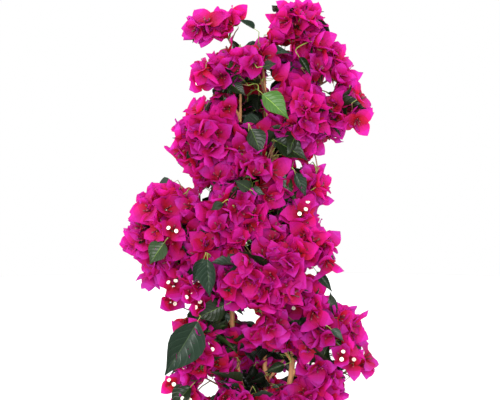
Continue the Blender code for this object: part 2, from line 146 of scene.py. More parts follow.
# %% [markdown]
# ## Stems, boughs and masses
#
# Three stems rise from one short trunk. Each bough leaves a stem and ends where it enters a mass. A mass is
# an egg-shaped space with its own leader, the stem inside it. The same rows lay out the solids, so everything
# that grows here meets them.

# %% The plan of the bush
Stem = namedtuple("Stem", "name base_radius tip_radius route")
Mass = namedtuple("Mass", "name stem fork centre half blossoms leaves")


def metres(thousandths):
    return tuple(part / 1000 for part in thousandths)


# Each stem: its radius at the foot and at the tip in metres, and the points of its route in millimetres.
STEM_ROWS = (
    ("stem_left", 0.0056, 0.0024, ((-30, -16, 100), (-50, -24, 200), (-54, -24, 300), (-48, -18, 430),
                                   (-41, -12, 560), (-40, -8, 655))),
    ("stem_right", 0.0060, 0.0024, ((36, -14, 100), (49, -20, 200), (38, -22, 320), (20, -18, 460),
                                    (7, -14, 590), (-3, -8, 690))),
    ("stem_back", 0.0053, 0.0024, ((4, 36, 100), (2, 52, 200), (6, 56, 320), (12, 50, 460), (22, 44, 600))),
)
# Each mass: its stem, the height of its fork there, its centre and its half widths in millimetres, its sprays
# and its leaves. The first FRONT_MASSES rows are the ones seen from the front.
MASS_ROWS = (
    ("top_left", "stem_left", None, (-83, -10, 748), (70, 44, 43), 8, 3),
    ("top_middle", "stem_right", 630, (-18, -52, 688), (42, 42, 40), 4, 3),
    ("upper_left", "stem_left", 590, (-84, -30, 674), (56, 50, 40), 7, 3),
    ("top_right", "stem_right", None, (56, 0, 743), (67, 54, 54), 10, 4),
    ("right_shoulder", "stem_right", 600, (112, 10, 666), (60, 52, 58), 9, 3),
    ("far_right", "stem_right", 520, (155, -16, 600), (40, 42, 54), 5, 2),
    ("upper_right", "stem_right", 540, (70, -50, 604), (62, 52, 56), 9, 5),
    ("left_shoulder", "stem_left", 480, (-98, -30, 561), (76, 66, 80), 13, 5),
    ("centre_upper", "stem_right", 470, (-2, -66, 524), (50, 42, 50), 6, 6),
    ("right_middle", "stem_right", 420, (78, -26, 492), (50, 52, 56), 8, 5),
    ("left_wing", "stem_left", 320, (-171, -20, 395), (83, 70, 93), 18, 6),
    ("centre_middle", "stem_left", 380, (-50, -86, 436), (60, 48, 62), 9, 5),
    ("right_centre", "stem_right", 330, (73, -48, 388), (70, 60, 62), 11, 4),
    ("centre_low", "stem_right", 250, (2, -100, 332), (70, 50, 64), 11, 4),
    ("left_low", "stem_left", 240, (-100, -70, 326), (55, 50, 56), 7, 6),
    ("leafy_left", "stem_left", 190, (-128, -72, 232), (48, 46, 54), 1, 9),
    ("centre_bottom", "stem_right", 180, (2, -76, 240), (46, 44, 44), 5, 4),
    ("low_left", "stem_left", 110, (-104, -52, 158), (71, 60, 60), 10, 6),
    ("low_right", "stem_right", 150, (106, -48, 236), (72, 62, 72), 12, 4),
    ("far_low_right", "stem_right", 110, (160, 4, 172), (44, 44, 44), 4, 3),
    ("bottom_right", "stem_right", 85, (86, -52, 142), (60, 54, 52), 8, 3),
    ("bottom_left", "stem_left", 80, (-36, -68, 124), (50, 46, 46), 5, 4),
    ("back_top", "stem_back", None, (22, 64, 678), (56, 48, 58), 7, 3),
    ("back_upper_left", "stem_back", 500, (-66, 66, 590), (60, 56, 68), 8, 4),
    ("back_upper_right", "stem_back", 470, (70, 84, 570), (58, 58, 66), 8, 4),
    ("back_wing", "stem_left", 350, (-110, 86, 440), (68, 62, 70), 8, 4),
    ("back_middle", "stem_back", 340, (24, 116, 440), (68, 56, 66), 8, 4),
    ("back_right", "stem_right", 260, (86, 72, 390), (48, 60, 64), 7, 4),
    ("back_low_left", "stem_left", 170, (-110, 78, 268), (66, 62, 68), 8, 4),
    ("back_low", "stem_back", 180, (2, 128, 290), (62, 54, 66), 7, 4),
    ("back_low_right", "stem_back", 130, (108, 88, 240), (62, 60, 64), 8, 4),
    ("bottom_back", "stem_back", 80, (-20, 100, 144), (78, 60, 54), 8, 5),
)
FRONT_MASSES = 22
STEMS = [Stem(name, base, tip, list(map(metres, route))) for name, base, tip, route in STEM_ROWS]
MASSES = [Mass(name, stem, fork and fork / 1000, metres(centre), metres(half), blossoms, leaves)
          for name, stem, fork, centre, half, blossoms, leaves in MASS_ROWS]
print(len(STEMS), "stems and", len(MASSES), "masses")

# %% [markdown]
# A stem's line runs smoothly through its route. A bough arches from the stem to the edge of its mass, and
# the leader carries on from the bough's tip towards the far side of the mass.

# %% Curves
def spline(points, steps):
    """Points along a smooth curve through the given points."""
    ends = [2 * points[0] - points[1], *points, 2 * points[-1] - points[-2]]
    found = []
    for i in range(steps + 1):
        place = i / steps * (len(points) - 1)
        k = min(int(place), len(points) - 2)
        t = place - k
        a, b, c, d = ends[k:k + 4]
        found.append(0.5 * (2 * b + (c - a) * t + (2 * a - 5 * b + 4 * c - d) * t * t
                            + (3 * b - a - 3 * c + d) * t ** 3))
    return found


def bend(start, control, end, steps):
    """Points along the arc that leaves start towards control and comes into end from it."""
    shares = [i / steps for i in range(steps + 1)]
    return [start * (1 - t) ** 2 + control * 2 * t * (1 - t) + end * t * t for t in shares]


def taper(first, last, count):
    return [first + (last - first) * i / (count - 1) for i in range(count)]


def point_at(line, height):
    """The line's point at that height."""
    for low, high in zip(line, line[1:]):
        if low.z <= height <= high.z:
            return low.lerp(high, (height - low.z) / (high.z - low.z))
    return line[-1]


# %% Lines of the stems, boughs and leaders
UP = Vector((0, 0, 1))
GAP = 0.0003                 # between a bough's tip and the leader that carries on from it
TRUNK_HEIGHT = 0.046
FORK_ARM = 0.026             # how far from the middle of the fork a stem starts
FORK_DEPTH = 0.55            # share of the trunk's height where its fork starts
FORK_RADIUS = 0.0074
STEM_STEPS = 26
BOUGH_STEPS = 6
BOUGH_RADIUS = 0.0027
LEADER_RADIUS = 0.0022
LEADER_STEPS = 6
LEADER_REACH = 0.45          # how far a leader goes past its mass's centre, as a share of the way to the skin
LEADER_BOW = 0.5             # how far it keeps its first heading, as a share of its length
ENTRY = 0.80                 # where a bough enters its mass, as a share of the way to its skin
SHORTEST_BOUGH = 0.045       # a mass that is nearer to its stem sits on it
BOUGH_ARCH = 0.16


def reach(mass, direction):
    """How far the skin of a mass lies from its centre in that direction."""
    return 1 / math.sqrt(sum((direction[k] / mass.half[k]) ** 2 for k in range(3)))


def stem_line(stem):
    heart = Vector((0, 0, TRUNK_HEIGHT))
    first = Vector(stem.route[0])
    foot = heart + (first - heart).normalized() * FORK_ARM
    return spline([foot, *map(Vector, stem.route)], STEM_STEPS)


def growth_lines(mass, stem):
    """The lines of the bough and of the leader. The bough is None where the mass sits on its stem."""
    centre = Vector(mass.centre)
    if mass.fork is None:
        heading = (stem[-1] - stem[-2]).normalized()
        start, bough = stem[-1] + heading * GAP, None
    else:
        start = point_at(stem, mass.fork)
        out = (centre - start).normalized()
        entry = centre - out * reach(mass, out) * ENTRY
        span = (entry - start).length
        if span < SHORTEST_BOUGH or (entry - start).dot(out) < 0:
            heading, bough = (out + UP * BOUGH_ARCH).normalized(), None
        else:
            bough = bend(start, (start + entry) / 2 + UP * span * BOUGH_ARCH, entry, BOUGH_STEPS)
            heading = (bough[-1] - bough[-2]).normalized()
            start = entry + heading * GAP
    out = (centre - start).normalized()
    end = centre + out * reach(mass, out) * LEADER_REACH
    return bough, bend(start, start + heading * (end - start).length * LEADER_BOW, end, LEADER_STEPS)


stem_lines = {stem.name: stem_line(stem) for stem in STEMS}
boughs, leaders = {}, {}
for mass in MASSES:
    boughs[mass.name], leaders[mass.name] = growth_lines(mass, stem_lines[mass.stem])
print(sum(line is not None for line in boughs.values()), "boughs and", len(leaders), "leaders")

# %% [markdown]
# ## Working in edit mode
#
# Every new form starts as a primitive that is shaped in edit mode. Three helpers keep that short: one makes a
# piece the only selected one, one selects the vertices that pass a test, and one applies a modifier.

# %% Helpers for modelling
NEAR = 1e-4                  # how near to a plane a vertex counts as on it


def only(piece):
    """Makes the piece the active one and the only one selected."""
    bpy.ops.object.select_all(action="DESELECT")
    piece.select_set(True)
    bpy.context.view_layer.objects.active = piece


def pick(piece, test):
    """In edit mode, selects the vertices whose place passes the test, and nothing else."""
    bpy.ops.mesh.select_all(action="DESELECT")
    shape = bmesh.from_edit_mesh(piece.data)
    for vertex in shape.verts:
        vertex.select = bool(test(vertex.co))
    shape.select_flush(True)
    bmesh.update_edit_mesh(piece.data)


def modified(piece, kind, **settings):
    """Adds a modifier and applies it."""
    modifier = piece.modifiers.new(kind.lower(), kind)
    for name, setting in settings.items():
        setattr(modifier, name, setting)
    only(piece)
    bpy.ops.object.modifier_apply(modifier=modifier.name)


# %% [markdown]
# ## Bark
#
# The trunk, stems and boughs are one living skin: collars swell where a bough leaves, and low ridges run into
# the ground. Each limb is laid as rings that are bridged into a tube, because rings follow any line and taper
# as they go, and the ridges of the foot can be drawn out of the trunk's rings before all is fused.

# %% A limb from rings
def limb(name, line, radii, sides):
    """Rings across the line, bridged into a closed tube."""
    for k, (point, radius) in enumerate(zip(line, radii)):
        heading = line[min(k + 1, len(line) - 1)] - line[max(k - 1, 0)]
        turn = heading.to_track_quat("Z", "Y").to_euler()
        bpy.ops.mesh.primitive_circle_add(vertices=sides, radius=radius, location=point, rotation=turn)
        if k == 0:
            made = bpy.context.object
            bpy.ops.object.transform_apply(location=True, rotation=True)
            bpy.ops.object.mode_set(mode="EDIT")
    bpy.ops.mesh.select_all(action="SELECT")
    bpy.ops.mesh.bridge_edge_loops()
    bpy.ops.mesh.select_all(action="SELECT")
    bpy.ops.mesh.fill_holes(sides=0)
    bpy.ops.mesh.select_all(action="SELECT")
    bpy.ops.mesh.normals_make_consistent(inside=False)
    bpy.ops.object.mode_set(mode="OBJECT")
    made.name = name
    return made


# %% Lay the limbs
TRUNK_SIDES, STEM_SIDES, BOUGH_SIDES = 24, 14, 10
ARM_STEPS = 4                # rings of a stem inside the trunk's fork
TRUNK_RADIUS = 0.0095
TRUNK_FLARE = 0.0175
TRUNK_PROFILE = ((0.0, 1.0), (0.25, 0.42), (0.6, 0.12), (1.0, 0.0))     # share of height, share of flare
ROOT_RIDGES = 4
ROOT_RIDGE_DEPTH = 0.16      # share of the radius, at the ground
ROOT_RIDGE_WIDTH = 0.85      # cosine of the angle to its middle at which a ridge ends

bpy.ops.object.select_all(action="DESELECT")
trunk_heights = [Vector((0, 0, TRUNK_HEIGHT * share)) for share, _ in TRUNK_PROFILE]
trunk_radii = [TRUNK_RADIUS + (TRUNK_FLARE - TRUNK_RADIUS) * flare for _, flare in TRUNK_PROFILE]
trunk = limb("trunk bark", trunk_heights, trunk_radii, TRUNK_SIDES)
bpy.ops.object.mode_set(mode="EDIT")
for share, flare in TRUNK_PROFILE[:2]:
    for k in range(ROOT_RIDGES):
        turn = math.tau * k / ROOT_RIDGES
        side = Vector((math.cos(turn), math.sin(turn), 0))
        pick(trunk, lambda place: abs(place.z - TRUNK_HEIGHT * share) < NEAR and place.xy.length > 0
             and place.xy.normalized().dot(side.xy) > ROOT_RIDGE_WIDTH)
        bpy.ops.transform.translate(value=side * TRUNK_FLARE * ROOT_RIDGE_DEPTH * flare)
bpy.ops.object.mode_set(mode="OBJECT")

limbs = [trunk]
for stem in STEMS:
    line = stem_lines[stem.name]
    start = Vector((0, 0, TRUNK_HEIGHT * FORK_DEPTH))
    arm = bend(start, Vector((0, 0, TRUNK_HEIGHT)), line[0], ARM_STEPS)
    radii = taper(FORK_RADIUS, stem.base_radius, ARM_STEPS)
    radii += taper(stem.base_radius, stem.tip_radius, len(line))
    limbs.append(limb(stem.name + " bark", arm[:-1] + line, radii, STEM_SIDES))
for mass in MASSES:
    if boughs[mass.name]:
        radii = taper(BOUGH_RADIUS, LEADER_RADIUS, BOUGH_STEPS + 1)
        limbs.append(limb(mass.name + " bark", boughs[mass.name], radii, BOUGH_SIDES))
print(len(limbs), "limbs laid")

# %% [markdown]
# A voxel remesh fuses the tubes into one skin, which gives the collars without any stitching by hand. Then a
# broad noise and a fine one raise the bark. Bump alone would leave the outline smooth. The bark is squashed
# while the noise works on it, so that its ridges come out tall and narrow when it is drawn out again.

# %% Fuse the limbs and raise the bark
BARK_VOXEL = 0.0011
SQUASH = 0.22                # share of its height to which the bark is squashed
RELIEFS = (("long ridges", 0.0032, 0.0011), ("knots", 0.014, 0.00088))       # grain, height

only(limbs[0])
for piece in limbs[1:]:
    piece.select_set(True)
bpy.ops.object.join()
bark = bpy.context.object
bark.name = "bark"
modified(bark, "REMESH", mode="VOXEL", voxel_size=BARK_VOXEL, use_smooth_shade=True)
modified(bark, "SMOOTH", factor=0.5, iterations=4)
for name, scale, height in RELIEFS:
    relief = bpy.data.textures.new(name, "CLOUDS")
    relief.noise_scale, relief.noise_depth = scale, 2
    bark.scale.z = SQUASH
    bpy.ops.object.transform_apply(scale=True)
    modified(bark, "DISPLACE", texture=relief, strength=height, mid_level=0.5, texture_coords="LOCAL")
    bark.scale.z = 1 / SQUASH
    bpy.ops.object.transform_apply(scale=True)
bpy.ops.object.mode_set(mode="EDIT")
bpy.ops.mesh.select_all(action="SELECT")
bpy.ops.mesh.bisect(plane_co=(0, 0, 0), plane_no=(0, 0, 1), clear_inner=True, use_fill=True, threshold=1e-6)
bpy.ops.object.mode_set(mode="OBJECT")
bpy.ops.object.shade_smooth()
print("bark:", len(bark.data.polygons), "faces")

# %% [markdown]
# ## Patterns for what repeats
#
# Bracts, leaves and flowers repeat by the hundred, so each is modelled once in a few variants and then copied
# by arithmetic. A pattern keeps the form's points, its faces, its flat map and, for each face, which finish
# it takes. An extrusion may list its faces in a new order each time, so they are sorted. Separate objects
# would do the same job, but a thousand of them slow every later step.

# %% A pattern and how it is taken from a piece
Pattern = namedtuple("Pattern", "points corners sizes zones flat")


def pattern_of(piece, zone_at):
    """The piece's mesh as arrays. zone_at gives a face's finish from its middle. The piece is removed."""
    mesh = piece.data
    faces = sorted(mesh.polygons, key=lambda face: tuple(face.vertices))
    points = np.array([tuple(vertex.co) for vertex in mesh.vertices])
    corners = np.array([corner for face in faces for corner in face.vertices])
    sizes = np.array([face.loop_total for face in faces])
    zones = np.array([zone_at(face.center) for face in faces])
    flat = np.zeros((len(corners), 2))
    if mesh.uv_layers.active:
        places = mesh.uv_layers.active.data
        flat = np.array([tuple(places[k].uv) for face in faces for k in face.loop_indices])
    bpy.data.objects.remove(piece)
    return Pattern(points, corners, sizes, zones, flat)


# %% [markdown]
# ## Bracts
#
# A bract is the papery leaf that gives the colour: broad, a little heart-shaped at its foot, with a drawn-out
# point, cupped across and curled along. It starts as a flat grid of a few faces. Rows are narrowed to the
# outline, columns are raised to the cup, and a broad noise crumples it. Six variants are enough, since each
# copy also gets its own size, lean and twist.

# %% A blade from a flat grid
RUFFLES = 9.0                # how fast the edge waves, in radians over its length
CUP_CURVE = 1.6              # 1 would fold the blade along its middle, more rounds it


def sheet_form(name, rows, columns, broad, outline, cup, curl, ruffle, crumple, grain):
    """A grid shaped as a blade that lies along +Y from the origin, one unit long, its face up."""
    bpy.ops.object.select_all(action="DESELECT")
    bpy.ops.mesh.primitive_grid_add(x_subdivisions=columns, y_subdivisions=rows, size=1, location=(0, 0.5, 0))
    bpy.ops.object.transform_apply(location=True)
    blade = bpy.context.object
    blade.name = name
    bpy.ops.object.mode_set(mode="EDIT")
    for k in range(columns + 1):
        across = k / columns - 0.5
        pick(blade, lambda place: abs(place.x - across) < NEAR)
        bpy.ops.transform.translate(value=(0, 0, cup * (2 * abs(across)) ** CUP_CURVE))
    for k in range(rows + 1):
        along, width = k / rows, outline[k]
        pick(blade, lambda place: abs(place.y - along) < NEAR)
        bpy.ops.transform.resize(value=(width * broad, 1, width), center_override=(0, along, 0))
        bpy.ops.transform.translate(value=(0, 0, curl * along * along))
        for side in (-1, 1):
            pick(blade, lambda place: abs(place.y - along) < NEAR and place.x * side > 0.45 * width * broad)
            bpy.ops.transform.translate(value=(0, 0, ruffle * math.sin(RUFFLES * along + side)))
    bpy.ops.object.mode_set(mode="OBJECT")
    crumples = bpy.data.textures.new(name, "CLOUDS")
    crumples.noise_scale, crumples.noise_depth = grain, 1
    modified(blade, "DISPLACE", texture=crumples, strength=crumple, mid_level=0.5, texture_coords="LOCAL")
    return blade


# %% Bract variants
BRACT_OUTLINE = (0.28, 0.80, 1.0, 1.0, 0.92, 0.74, 0.42, 0.03)       # its width at each row, foot to tip
BRACT_BROAD = 0.84           # its full width, as a share of its length
BRACT_ROWS, BRACT_COLUMNS = 7, 4
THROAT, HEART, BLADE = 0, 1, 2
ZONE_ENDS = (3 / 7, 5 / 7, 1)                                        # how far up the bract each zone goes


def bract_zone(middle):
    return next(zone for zone in (THROAT, HEART, BLADE) if middle.y < ZONE_ENDS[zone] or zone == BLADE)


BRACT_FORMS = (              # cup, curl, ruffle, crumple, grain
    (0.14, 0.10, 0.035, 0.14, 0.45),
    (0.10, -0.18, 0.050, 0.16, 0.38),
    (0.26, 0.24, 0.040, 0.12, 0.50),
    (0.12, -0.06, 0.070, 0.24, 0.33),
    (0.20, -0.22, 0.060, 0.18, 0.28),
    (0.08, 0.16, 0.065, 0.22, 0.40),
)
bract_patterns = []
for k, form in enumerate(BRACT_FORMS):
    blade = sheet_form(f"bract {k}", BRACT_ROWS, BRACT_COLUMNS, BRACT_BROAD, BRACT_OUTLINE, *form)
    bract_patterns.append(pattern_of(blade, bract_zone))
print(len(bract_patterns), "bracts of", len(bract_patterns[0].sizes), "faces")

# %% [markdown]
# ## Leaves
#
# A leaf is egg-shaped with a long point, folded a little along a paler midrib, and glossy. The grid has an
# odd number of columns, and the middle one is squeezed to the midrib's width, so that the rib is a strip of
# faces with its own finish.

# %% Leaf variants
LEAF_OUTLINE = (0.10, 0.62, 0.93, 1.0, 0.92, 0.72, 0.44, 0.18, 0.02)
LEAF_ROWS, LEAF_COLUMNS = 8, 5
LEAF_BROAD = 0.60
RIB_SHARE = 0.11             # the midrib's width, as a share of a column
SKIN, RIB = 0, 1


def leaf_form(name, *bends):
    blade = sheet_form(name, LEAF_ROWS, LEAF_COLUMNS, LEAF_BROAD, LEAF_OUTLINE, *bends)
    bpy.ops.object.mode_set(mode="EDIT")
    for k in range(LEAF_ROWS + 1):
        half = 0.5 / LEAF_COLUMNS * LEAF_BROAD * LEAF_OUTLINE[k] * 1.5
        pick(blade, lambda place: abs(place.y - k / LEAF_ROWS) < 0.05 and abs(place.x) < half)
        bpy.ops.transform.resize(value=(RIB_SHARE, 1, 1), center_override=(0, k / LEAF_ROWS, 0))
    bpy.ops.object.mode_set(mode="OBJECT")
    return pattern_of(blade, lambda middle: RIB if abs(middle.x) < 0.004 else SKIN)


LEAF_FORMS = (               # cup, curl, ruffle, crumple, grain
    (0.18, -0.16, 0.025, 0.08, 0.40),
    (0.26, -0.28, 0.030, 0.10, 0.35),
    (0.12, 0.08, 0.035, 0.12, 0.30),
    (0.34, -0.14, 0.030, 0.08, 0.45),
)
leaf_patterns = [leaf_form(f"leaf {k}", *form) for k, form in enumerate(LEAF_FORMS)]
print(len(leaf_patterns), "leaves of", len(leaf_patterns[0].sizes), "faces")

# %% [markdown]
# ## Flowers
#
# The true flowers are slender tubes, one to each bract. Most are still closed: reddish, swollen at the foot
# and at the tip. An open one ends in a small white star with five lobes and an ochre throat.

# %% Closed and open flower
TUBE_SIDES = 4
TUBE_PROFILE = ((0.0, 0.06), (0.2, 0.11), (0.5, 0.07), (0.9, 0.11))     # height, radius
STAR_LOBES = 5
LOBE_WIDTH = 0.38            # of the ring of lobes round the eye, for a star one across
EYE_DEPTH = 0.05
NOTCH_REACH = 0.55           # how far out the notches between the lobes lie
TUBE, TUBE_TIP, STAR, EYE_OF_STAR = 0, 1, 2, 3


def tube_form(name):
    """A closed flower, one unit tall, that stands on the origin."""
    bpy.ops.object.select_all(action="DESELECT")
    bpy.ops.mesh.primitive_circle_add(vertices=TUBE_SIDES, radius=TUBE_PROFILE[0][1], fill_type="NGON")
    made = bpy.context.object
    made.name = name
    bpy.ops.object.mode_set(mode="EDIT")
    for (low, inner), (high, outer) in zip(TUBE_PROFILE, TUBE_PROFILE[1:]):
        bpy.ops.mesh.extrude_region_move(TRANSFORM_OT_translate={"value": (0, 0, high - low)})
        bpy.ops.transform.resize(value=(outer / inner,) * 2 + (1,), center_override=(0, 0, high))
    bpy.ops.object.mode_set(mode="OBJECT")
    return made


def star_form(name):
    """The open end of a flower: a star one unit across, that faces up."""
    bpy.ops.object.select_all(action="DESELECT")
    bpy.ops.mesh.primitive_circle_add(vertices=2 * STAR_LOBES, radius=0.5, fill_type="NGON")
    made = bpy.context.object
    made.name = name
    bpy.ops.object.mode_set(mode="EDIT")
    bpy.ops.mesh.inset(thickness=LOBE_WIDTH)
    bpy.ops.transform.translate(value=(0, 0, -EYE_DEPTH))
    for k in range(STAR_LOBES):
        angle = math.tau * (k + 0.5) / STAR_LOBES
        notch = Vector((math.cos(angle), math.sin(angle), 0)) * 0.5
        pick(made, lambda place: place.xy.length > 0.4 and (place.xy - notch.xy).length < 0.05)
        bpy.ops.transform.resize(value=(NOTCH_REACH, NOTCH_REACH, 1), center_override=(0, 0, 0))
    bpy.ops.object.mode_set(mode="OBJECT")
    return made


tube_pattern = pattern_of(tube_form("tube"), lambda middle: TUBE_TIP if middle.z > 0.7 else TUBE)
star_pattern = pattern_of(star_form("star"), lambda middle: EYE_OF_STAR if middle.xy.length < 0.1 else STAR)
print("tube:", len(tube_pattern.sizes), "faces, star:", len(star_pattern.sizes), "faces")

# %% [markdown]
# ## Copies
#
# A heap collects copies of patterns, each with its place and its first finish, and turns them into one mesh.

# %% The heap
class Heap:
    """Copies of patterns that become one mesh."""

    def __init__(self):
        self.points, self.corners, self.sizes, self.finishes, self.flat = [], [], [], [], []
        self.count = 0

    def add(self, pattern, place, first_finish=0):
        """place is a 4 x 4 matrix. The pattern's zones count on from first_finish."""
        turned = np.array(place)
        self.points.append(pattern.points @ turned[:3, :3].T + turned[:3, 3])
        self.corners.append(pattern.corners + self.count)
        self.sizes.append(pattern.sizes)
        self.finishes.append(pattern.zones + first_finish)
        self.flat.append(pattern.flat)
        self.count += len(pattern.points)

    def piece(self, name, finishes):
        mesh = bpy.data.meshes.new(name)
        points, corners = np.concatenate(self.points), np.concatenate(self.corners)
        sizes = np.concatenate(self.sizes)
        mesh.vertices.add(len(points))
        mesh.vertices.foreach_set("co", points.astype(np.float32).ravel())
        mesh.loops.add(len(corners))
        mesh.loops.foreach_set("vertex_index", corners.astype(np.int32))
        mesh.polygons.add(len(sizes))
        mesh.polygons.foreach_set("loop_start", (np.cumsum(sizes) - sizes).astype(np.int32))
        for finish in finishes:
            mesh.materials.append(finish)
        mesh.polygons.foreach_set("material_index", np.concatenate(self.finishes).astype(np.int32))
        mesh.uv_layers.new(name="flat")
        mesh.uv_layers["flat"].data.foreach_set("uv", np.concatenate(self.flat).astype(np.float32).ravel())
        mesh.update(calc_edges=True)
        mesh.shade_smooth()
        made = bpy.data.objects.new(name, mesh)
        bpy.context.scene.collection.objects.link(made)
        triangles = int((sizes - 2).sum())
        print(f"{name}: {triangles} triangles")
        return made


# %% Sticks, and the frame of a blade
def stick(line, radii, sides, finish):
    """A tapering tube along a line, with a pointed end, as a pattern."""
    rings, heading = [], None
    for k, (point, radius) in enumerate(zip(line, radii)):
        heading = (line[min(k + 1, len(line) - 1)] - line[max(k - 1, 0)]).normalized()
        if k == 0:
            side = heading.orthogonal().normalized()
        side = (side - heading * side.dot(heading)).normalized()
        across = heading.cross(side)
        for i in range(sides):
            angle = math.tau * i / sides
            rings.append(point + (side * math.cos(angle) + across * math.sin(angle)) * radius)
    rings.append(line[-1] + heading * radii[-1])
    corners, sizes, flat = [], [], []
    for k in range(len(line) - 1):
        for i in range(sides):
            j = (i + 1) % sides
            corners += [k * sides + i, k * sides + j, (k + 1) * sides + j, (k + 1) * sides + i]
            flat += [(i / sides, k), ((i + 1) / sides, k), ((i + 1) / sides, k + 1), (i / sides, k + 1)]
            sizes.append(4)
    last, tip = (len(line) - 1) * sides, len(rings) - 1
    for i in range(sides):
        corners += [last + i, last + (i + 1) % sides, tip]
        flat += [(i / sides, 0), ((i + 1) / sides, 0), (i / sides, 1)]
        sizes.append(3)
    points = np.array([tuple(point) for point in rings])
    return Pattern(points, np.array(corners), np.array(sizes), np.full(len(sizes), finish), np.array(flat))


def frame_of(place, along, face, size):
    """The matrix that lays a blade's +Y along the heading, its face as near to face as it can."""
    along = along.normalized()
    face = (face - along * face.dot(along)).normalized()
    turned = Matrix((along.cross(face), along, face)).transposed() * size
    return Matrix.Translation(place) @ turned.to_4x4()


# %% [markdown]
# ## The crown as one form
#
# Seen from a step away the masses melt into each other, so the crown's skin isn't theirs. Each mass adds to
# a fullness that falls off from its middle, and so does each stem. The crown is where the sum reaches one:
# a lone mass keeps its own skin, and where two meet the hollow between them fills up. Broad noise on the
# limit keeps the outline ragged, as if some twigs had run ahead.

# %% Fullness
FALL_OFF = 1.8               # how deep outside a mass its share of the fullness ends, 1 at its skin
STEM_SHARE = 0.9             # what a stem adds at its middle
STEM_SPREAD = 0.075
RAGGED = 0.45                # how much the limit wanders
RAGGED_GRAIN = 30.0          # and how fast, per metre
STEM_START = 0.1             # a stem adds nothing below this height
mass_centres = np.array([mass.centre for mass in MASSES])
mass_halves = np.array([mass.half for mass in MASSES])
stem_points = np.array([point for line in stem_lines.values() for point in line if point.z > STEM_START])


def depths(points):
    """How deep each point lies in each mass: 0 at its centre, 1 at its skin."""
    return np.linalg.norm((np.array(points)[:, None] - mass_centres) / mass_halves, axis=2)


def fullness(points):
    """One or more for points inside the crown, before its limit wanders."""
    shares = np.clip(FALL_OFF - depths(points), 0, None) / (FALL_OFF - 1)
    stems = np.linalg.norm(np.array(points)[:, None] - stem_points, axis=2).min(axis=1)
    return (shares ** 2).sum(axis=1) + STEM_SHARE * np.clip(1 - stems / STEM_SPREAD, 0, None)


def within(points, share):
    """For each point, whether it lies inside the crown when its limit is cut to the share."""
    limits = np.array([1 + RAGGED * noise.noise(Vector(point) * RAGGED_GRAIN) for point in points])
    return fullness(points) > limits * share


def outward_from(point):
    """The way out of the crown: down the slope of its fullness."""
    around = fullness([point + axis * step for step in (0.004, -0.004) for axis in Matrix.Identity(3)])
    return -Vector(around[:3] - around[3:]).normalized()


print("fullness in the middles of the masses: at least", fullness(mass_centres).min().round(2))

# %% [markdown]
# Light shows through the crown in some places, and in others one looks into its dark inside. Both are laid
# out as ovals, as seen from the camera, and the outline of the crown is laid out as corners. Growth keeps out
# of the ovals and within the outline. Cutting the gaps out afterwards would leave sliced bracts.

# %% See-through places, hollows and the outline
# Places seen from the camera, on the plane y = 0, in millimetres. Each row of the first two tables is an
# oval: its middle and its half sizes, across and up.
HOLES = np.array((           # through which the light shows
    (-27, 744, 14, 12), (-70, 569, 7, 7), (-151, 569, 3, 5), (-163, 443, 7, 8), (-100, 462, 7, 14),
    (19, 715, 5, 3), (34, 715, 7, 7), (58, 708, 5, 10), (12, 659, 10, 17), (112, 671, 8, 3),
    (105, 648, 9, 13), (118, 615, 6, 4), (139, 613, 7, 3), (44, 634, 3, 3), (-27, 639, 5, 7),
    (-12, 634, 5, 7), (56, 515, 10, 10), (25, 513, 5, 8), (3, 479, 7, 7), (48, 482, 7, 5), (83, 457, 12, 5),
    (-3, 365, 10, 7), (56, 360, 3, 8), (80, 333, 10, 8), (88, 300, 5, 7), (-25, 256, 24, 12),
    (-160, 317, 8, 7), (-126, 254, 5, 5), (-136, 280, 17, 12), (-92, 132, 15, 17), (15, 163, 7, 5),
    (25, 154, 8, 7), (27, 251, 5, 7), (58, 130, 7, 5), (129, 183, 17, 12), (117, 198, 7, 5),
    (-8, 195, 3, 5), (-75, 717, 20, 6), (-100, 639, 18, 5), (118, 325, 12, 6),
)) / 1000
HOLLOWS = np.array((         # where one looks into the dark inside of the crown
    (-37, 659, 8, 20), (-37, 615, 10, 24), (-3, 662, 14, 27), (-17, 611, 20, 24), (5, 577, 12, 24),
    (22, 540, 20, 24), (-59, 548, 8, 8), (-24, 484, 22, 17), (-68, 448, 15, 12), (-27, 372, 15, 10),
    (-131, 411, 10, 8), (49, 260, 14, 17), (14, 423, 10, 8), (-3, 163, 51, 44), (-54, 248, 14, 15),
    (-146, 350, 12, 14), (12, 707, 20, 8), (51, 173, 10, 37), (-56, 243, 8, 37),
)) / 1000
OUTLINE = np.array((         # corners of the crown, seen in the same way
    (-130, 60), (-153, 115), (-167, 168), (-159, 208), (-158, 248), (-115, 264), (-123, 290), (-151, 275),
    (-157, 310), (-197, 299), (-218, 314), (-196, 336), (-222, 354), (-242, 364), (-246, 387), (-229, 429),
    (-216, 465), (-187, 487), (-151, 489), (-125, 468), (-117, 491), (-148, 517), (-147, 534), (-172, 540),
    (-157, 554), (-155, 588), (-124, 608), (-112, 634), (-94, 631), (-72, 633), (-88, 645), (-113, 652),
    (-128, 659), (-113, 673), (-126, 683), (-100, 702), (-58, 708), (-56, 728), (-95, 726), (-102, 715),
    (-139, 730), (-143, 744), (-131, 764), (-116, 775), (-77, 756), (-76, 785), (-27, 785), (-46, 750),
    (-49, 712), (-23, 716), (4, 735), (3, 771), (19, 790), (49, 793), (76, 795), (95, 787), (102, 760),
    (121, 739), (138, 717), (154, 682), (167, 666), (154, 637), (185, 620), (185, 598), (175, 566),
    (146, 578), (134, 552), (94, 564), (83, 542), (102, 533), (71, 521), (85, 502), (107, 516), (114, 489),
    (121, 455), (69, 435), (95, 424), (100, 396), (131, 401), (113, 379), (139, 339), (86, 338), (105, 319),
    (125, 276), (173, 271), (165, 242), (180, 215), (165, 192), (184, 190), (198, 173), (175, 146),
    (143, 182), (135, 144), (146, 115), (130, 60),
)) / 1000
OUTLINE_ENDS = np.roll(OUTLINE, -1, axis=0)
